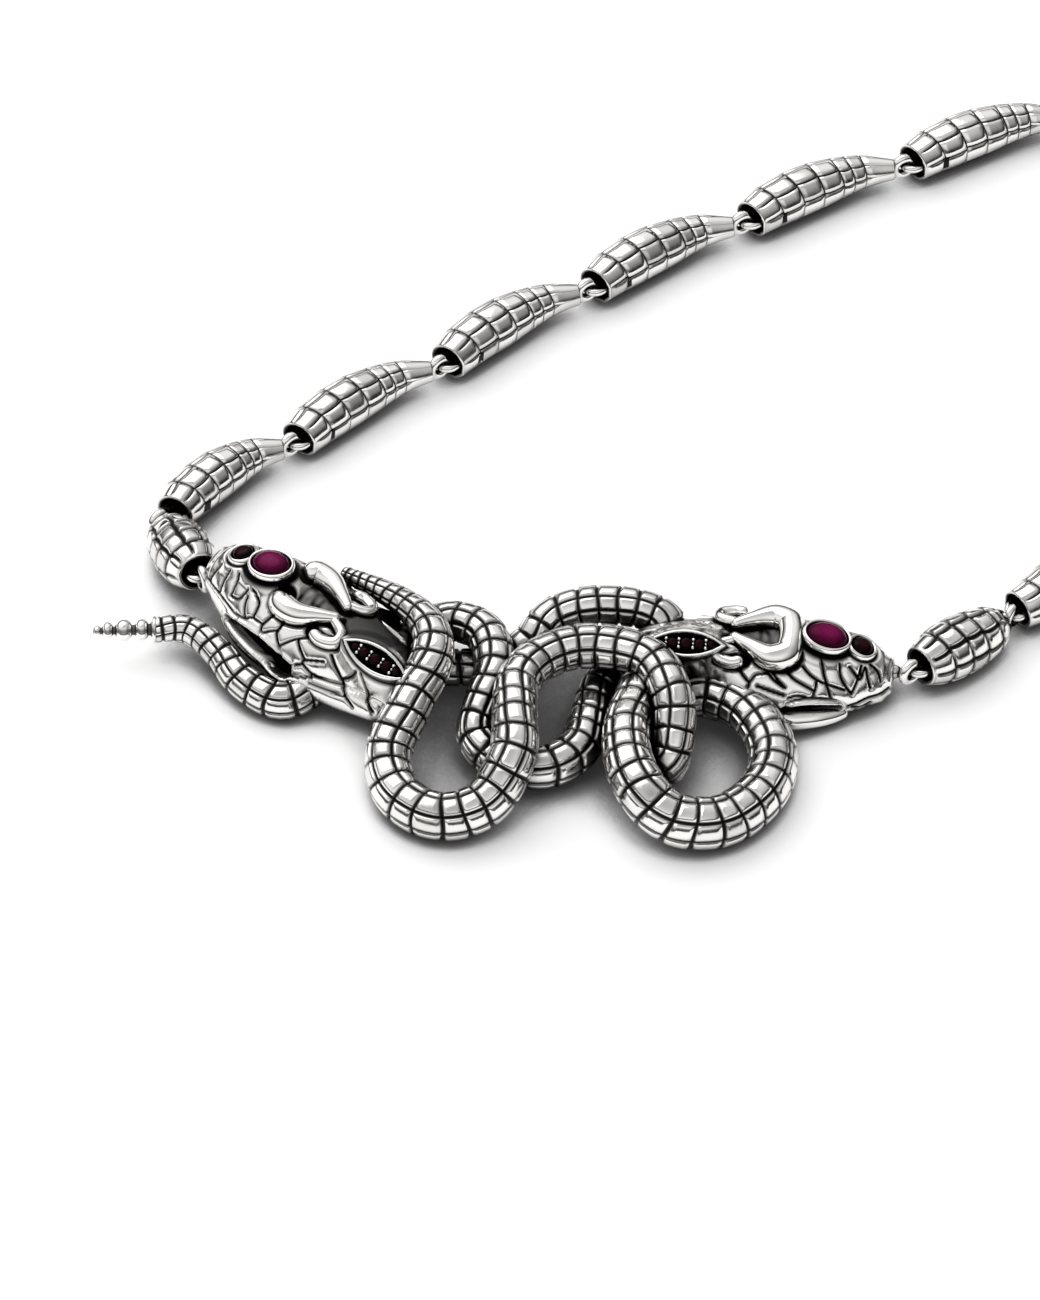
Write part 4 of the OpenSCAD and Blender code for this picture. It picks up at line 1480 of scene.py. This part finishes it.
@dataclass
class ChainLink:
    """A hollow link of the chain: engraved body, black cup, loop of wire and eye ring."""

    name: str
    node: str
    start: Array
    way: Array
    pitch: float
    next_heading: float
    rows: Rows
    mouth: float
    bow_side: int
    cross_cuts: tuple[float, ...]
    long_cuts: tuple[float, ...]
    seed: int
    relief: Relief = Relief(depth=0.13, floor=0.06, wall=0.05, swell=0.0, lean=0.02)
    # Middle and half width, in degrees, of the band that the rings don't cross.
    plain_band: tuple[float, float] = (-62, 44)
    mean_r: float = 2.1
    waver: float = 0.14
    sunk: float = 0.02
    wire: float = 0.4
    # Keep of the rim, distance inward and blackening of each ring of the cup.
    CUP = (
        (0.97, -0.06, 0.0), (0.9, -0.05, 0.1), (0.83, 0.05, 0.8), (0.8, 0.6, 1.0), (0.79, 2.9, 1.0),
        (0.4, 3.1, 1.0),
    )

    def placed(self, p: Array) -> Array:
        """Moves points of the link, which runs along X, to the layout."""
        rise = math.degrees(math.atan2(self.way[2], math.hypot(self.way[0], self.way[1])))
        return p @ turned((0, -rise, heading_of(self.way))).T + self.start

    def body(self, cast: Casting) -> None:
        """Adds the engraved body and its cup.

        Args:
            cast: the link's casting.
        """
        tip = self.pitch - EYE_R - 0.1
        run = tip - self.mouth
        path = Path([(self.mouth + t * run, self.bow_side * bow, 0, r) for t, r, bow in self.rows])
        cross = np.concatenate([[0], np.array(self.cross_cuts) * path.length, [path.length]])
        along = self.relief.samples(cross)
        across = self.relief.samples(np.radians(np.array(self.long_cuts)) * self.mean_r).closed()
        s = along.place
        ring_cut = along.groove * ((s > 0.3) & (s < path.length - 0.25))
        seen = across.place / self.mean_r
        angle = seen if self.bow_side > 0 else math.pi - seen
        plates = (len(cross) - 1, len(self.long_cuts) - 1)
        rng = np.random.default_rng(self.seed)
        lift = self.relief.of_plates(rng.uniform(-1, 1, (*plates, 2)) * self.relief.lean, along, across)
        # The long grooves step a little from plate to plate and sag along each.
        step = rng.uniform(-0.07, 0.07, plates[0])[along.plate] * (1 - ring_cut)
        turn = angle + (step - 0.05 * np.abs(np.sin(math.pi * along.share)))[:, None]
        shift = self.waver * np.sin(2.0 * turn + 0.8) * path.ends(s)[:, None]
        worn = self.relief.of_plates(rng.uniform(0, 1, plates), along, across)
        # The rings run out a little below the lowest long groove, which alone runs on to the tip.
        band, half = self.plain_band
        off = np.abs((np.degrees(seen) - band + 180) % 360 - 180)
        last = ease((s / path.length - self.cross_cuts[-1] - 0.02) / 0.04)[:, None]
        long_cut = across.groove * (1 - last * (off > half + 6)) * np.clip((s - 0.25) / 0.3, 0, 1)[:, None]
        groove = np.maximum(ring_cut[:, None] * ease((off - half) / 6), long_cut)
        swell = np.sqrt(along.swell[:, None] * across.swell)
        tilt = lift[..., 0] * (along.share[:, None] - 0.5) + lift[..., 1] * (across.share - 0.5)
        p, r, side, up = path.at(s[:, None] + shift)
        height = self.relief.height(groove, swell, tilt) - self.sunk
        ring = rings(p, r + height * np.clip(r / self.mean_r, 0.35, 1.1), turn, side, up)
        dark = self.relief.blackening(groove, swell, worn)
        cast.grid(self.placed(facing(ring, -self.bow_side)), facing(dark, -self.bow_side), caps=(False, True))
        self.cup(cast, path.points[0], ring[0])

    def cup(self, cast: Casting, middle: Array, rim: Array) -> None:
        """Adds the rounded rim and the black inside of the cup.

        Args:
            cast: the link's casting.
            middle: the middle of its mouth.
            rim: the body's first ring.
        """
        inside = [middle + (rim - middle) * keep + np.array([inward, 0, 0]) for keep, inward, _ in self.CUP]
        dark = np.array([0.0] + [shade for _, _, shade in self.CUP])[:, None]
        cast.grid(facing(self.placed(np.array([rim] + inside)), self.bow_side), dark, caps=(False, True))

    def dress(self, finishes: Finishes) -> None:
        """Builds the link and ties it to the frame.

        Args:
            finishes: the materials.
        """
        cast = Casting()
        self.body(cast)
        reach = self.mouth + 3.6
        cast.tube(wire_loop([reach, reach * 0.6 + 0.4], self.wire), 14, 0.16, place=self.placed)
        joint = self.start + self.pitch * self.way
        cast.ring(joint, self.next_heading)
        tip = joint - (EYE_R + 0.25) * self.way
        back = joint - EYE_R * heading_vector(self.next_heading)
        cast.tube([(*(tip - 0.5 * self.way), 0.62), (*tip, 0.5), (*back, 0.4)], 14, 0.15)
        seat(cast.make(self.name, finishes.silvers), Slot.SILVER, self.node)


@dataclass
class Clasp:
    """Plain clasp barrel between the last two links."""

    start: Array
    end: Array
    name: str = "clasp_barrel"
    wire: float = 0.33
    middle_r: float = 2.32
    # Distance from the joint, radius and blackening, from the cup's floor over its rim to the band.
    PROFILE = (
        (3.6, 0.3, 1), (1.6, 1.45, 1), (1.3, 1.5, 0.7), (1.28, 1.75, 0), (1.4, 1.9, 0), (2.9, 2.28, 0),
        (3.3, 2.3, 0), (4.0, 2.3, 0), (4.08, 2.2, 1), (4.2, 2.2, 1), (4.28, 2.3, 0),
    )

    def placed(self, p: Array) -> Array:
        """Moves points of the clasp, which runs along X, to the layout."""
        return p @ turned((0, 0, heading_of(self.end - self.start))).T + self.start

    def dress(self, finishes: Finishes) -> None:
        """Builds the barrel, its cups and its loops, and ties it to the frame.

        Args:
            finishes: the materials.
        """
        length = float(np.linalg.norm(self.end - self.start))
        back = [(length - x, r, dark) for x, r, dark in self.PROFILE[::-1]]
        x, r, dark = np.array([*self.PROFILE, (length / 2, self.middle_r, 0), *back]).T[..., None]
        a = whole_turn(48)
        ring = np.stack([x + 0 * a, r * np.cos(a), r * np.sin(a)], axis=-1)
        cast = Casting()
        cast.grid(self.placed(ring), dark, caps=(True, True), polish=Polish.BRIGHT)
        loop = wire_loop([3.2], self.wire)
        for rows in (loop, [(length - x, y, z, r) for x, y, z, r in loop]):
            cast.tube(rows, 14, 0.16, place=self.placed)
        seat(cast.make(self.name, finishes.silvers), Slot.SILVER, "clasp")


@dataclass
class Chain:
    """Barrels, horn links and clasp, laid out from the two nose rings."""

    left_nose: Array
    right_nose: Array
    link_pitch: float = 18.8
    first_short: float = 1.6
    barrel_pitches: tuple[float, float] = (11.4, 13.4)
    mouth: float = 1.15
    # The first left link's cup starts further from its joint, where the barrel's ring stands aslant.
    first_left_mouth: float = 2.1

    def barrel(self, word: str, nose: Array, number: int, next_heading: float) -> ChainLink:
        """Barrel link between a nose ring and the first joint of the chain.

        Args:
            word: left or right.
            nose: middle of the nose ring.
            number: 0 on the left and 1 on the right.
            next_heading: heading of the first horn link.

        Returns:
            The link, which comes down from the nose to the height of the chain's axis.
        """
        level = math.sqrt(self.barrel_pitches[number] ** 2 - (nose[2] - LINK_AXIS_Z) ** 2)
        gap = level * heading_vector(BARREL_HEADINGS[number]) + UP * (LINK_AXIS_Z - nose[2])
        return ChainLink(
            f"barrel_link_{word}", f"barrel_{word}", nose, unit(gap), float(np.linalg.norm(gap)),
            next_heading, BARREL_ROWS, mouth=1.3, bow_side=1, cross_cuts=(0.2, 0.4, 0.6, 0.8),
            long_cuts=(8, 52, 96, 140, 190, 240, 290, 330, 368), seed=11,
            relief=Relief(depth=0.26, floor=0.15, wall=0.07, swell=0.03, lean=0.05), plain_band=(40, 0),
        )

    def side(self, word: str, nose: Array, number: int, headings: list[float]) -> list[ChainLink]:
        """Links of one side.

        Args:
            word: left or right.
            nose: middle of the nose ring.
            number: 0 on the left and 1 on the right.
            headings: headings of the horn links.

        Returns:
            The barrel and the horn links in order, the last with the heading still to be set.
        """
        links = [self.barrel(word, nose, number, headings[0])]
        start = nose + links[0].pitch * links[0].way
        for i, (heading, after) in enumerate(zip(headings, headings[1:] + headings[-1:])):
            pitch = self.link_pitch - (0 if i else self.first_short)
            links.append(
                ChainLink(
                    f"horn_link_{word}_{i + 1}", f"link_{word}_{i + 1}", start, heading_vector(heading),
                    pitch, after, HORN_ROWS, mouth=self.mouth if i or number else self.first_left_mouth,
                    bow_side=-1 if number else 1, cross_cuts=(0.145, 0.315, 0.475, 0.625, 0.71, 0.805),
                    long_cuts=(19, 65, 112, 165, 225, 379), seed=20 + i,
                )
            )
            start = start + pitch * heading_vector(heading)
        return links

    def dress(self, finishes: Finishes) -> None:
        """Builds every link and ties it to the frame.

        Args:
            finishes: the materials.
        """
        left = self.side("left", self.left_nose, 0, LEFT_HEADINGS)
        right = self.side("right", self.right_nose, 1, RIGHT_HEADINGS)
        ends = [side[-1].start + side[-1].pitch * side[-1].way for side in (left, right)]
        left[-1].next_heading = heading_of(ends[1] - ends[0])
        right[-1].next_heading = left[-1].next_heading + 180
        for link in left + right:
            link.dress(finishes)
        Clasp(*ends).dress(finishes)


@dataclass
class Studio:
    """White sheet, soft light tent and the camera of the photograph."""

    look_at: tuple[float, float, float] = (0.0, 14.0, 0.0)
    distance: float = 1500.0
    elevation: float = 45.0
    lens: float = 415.4
    # Half the sheet's side and its depth under the necklace, in metres.
    sheet_half: float = 3.0
    sheet_z: float = -0.00002
    # Place and side of the lamp in metres, and its power in watts.
    lamp_place: tuple[float, float, float] = (-0.4, 0.5, 0.95)
    lamp_side: float = 1.1
    lamp_power: float = 5.2
    # The tent's grey over the height of the sky.
    sky: Rows = (
        (0.0, 0.03), (0.2, 0.08), (0.4, 0.75), (0.55, 1.0), (0.75, 1.0), (1.0, 0.55),
    )

    def floor(self) -> None:
        """Lays the sheet under the necklace."""
        mesh = bpy.data.meshes.new("ground_sheet")
        half = self.sheet_half
        corners = [(x * half, y * half, self.sheet_z) for x, y in ((-1, -1), (1, -1), (1, 1), (-1, 1))]
        mesh.from_pydata(corners, [], [(0, 1, 2, 3)])
        mesh.materials.append(TentSheet().make())
        sheet = linked("ground_sheet", mesh)

    def camera(self) -> None:
        """Sets the camera at the photograph's place."""
        data = bpy.data.cameras.new("camera")
        data.lens = self.lens
        data.clip_start, data.clip_end = 0.05, 20
        camera = linked("camera", data)
        e = math.radians(self.elevation)
        back = np.array([0, -math.cos(e), math.sin(e)])
        camera.location = tuple((np.array(self.look_at) - LAYOUT_MIDDLE + back * self.distance) * MM)
        camera.rotation_euler = (math.radians(90 - self.elevation), 0, 0)
        bpy.context.scene.camera = camera

    def lamp(self) -> None:
        """Hangs the soft square lamp, turned to the necklace."""
        data = bpy.data.lights.new("key", "AREA")
        data.size, data.energy = self.lamp_side, self.lamp_power
        lamp = linked("key", data)
        lamp.location = self.lamp_place
        x, y, z = self.lamp_place
        lamp.rotation_euler = (math.atan2(math.hypot(x, y), z), 0, math.atan2(x, -y))

    def tent(self) -> None:
        """Lights the sky of the tent: bright overhead, greyer to the sides."""
        world = bpy.data.worlds.new("light_tent")
        bpy.context.scene.world = world
        tree = empty_tree(world)
        sky = add_node(tree, "ShaderNodeTexCoord").outputs["Generated"]
        way = add_node(tree, "ShaderNodeSeparateXYZ", {}, {0: sky})
        grey = add_node(tree, "ShaderNodeValToRGB", {}, {0: way.outputs["Z"]}, self.sky).outputs[0]
        # A black card stands at the tent's right side, which draws dark edges on the polished metal.
        card = add_node(
            tree, "ShaderNodeMapRange", {"interpolation_type": "SMOOTHSTEP"},
            {"Value": way.outputs["X"], "From Min": 0.3, "From Max": 0.85, "To Min": 0.92, "To Max": 0.3},
        ).outputs[0]
        back = add_node(tree, "ShaderNodeBackground", {}, {"Color": grey, "Strength": card})
        add_node(tree, "ShaderNodeOutputWorld", {}, {"Surface": back.outputs[0]})

    def dress(self) -> None:
        """Sets up floor, camera and light."""
        self.floor()
        self.camera()
        self.tent()
        self.lamp()
        view = bpy.context.scene.view_settings
        view.view_transform = "Standard"
        view.look = "None"
        view.exposure = 0.0


def main() -> None:
    """Builds the studio and dresses the necklace."""
    logging.basicConfig(level=logging.INFO, format="%(name)s: %(message)s")
    Studio().dress()
    finishes = Finishes.made()
    SnakeBody("right_snake_body", RIGHT_ROUTE, seed=1).dress(finishes)
    SnakeBody("left_snake_body", LEFT_ROUTE, seed=2).dress(finishes)
    Rattle().dress(finishes)
    heads = [
        Head(
            "left_head", pose=(-11.2, 4.8, 0.1, 7, 141), near=1, eye_pose=(3.0, 2.0, 7.1, -2, -28, 4),
            nose_point=(25.5, 1.6, 1.5), carving=LEFT_CARVING, first_near_stone=0, seed=7,
        ),
        Head(
            "right_head", pose=(12, 9.6, 0, 0, -5), near=-1, eye_pose=(4.8, 2.0, 7.1, -2, -28, 2),
            nose_point=(27, 0.2, 3.5), carving=RIGHT_CARVING, first_near_stone=1, seed=8,
        ),
    ]
    for head, barrel_heading in zip(heads, BARREL_HEADINGS):
        head.dress(finishes, barrel_heading)
    Chain(*(head.nose_ring() for head in heads)).dress(finishes)


if __name__ == "__main__":
    main()
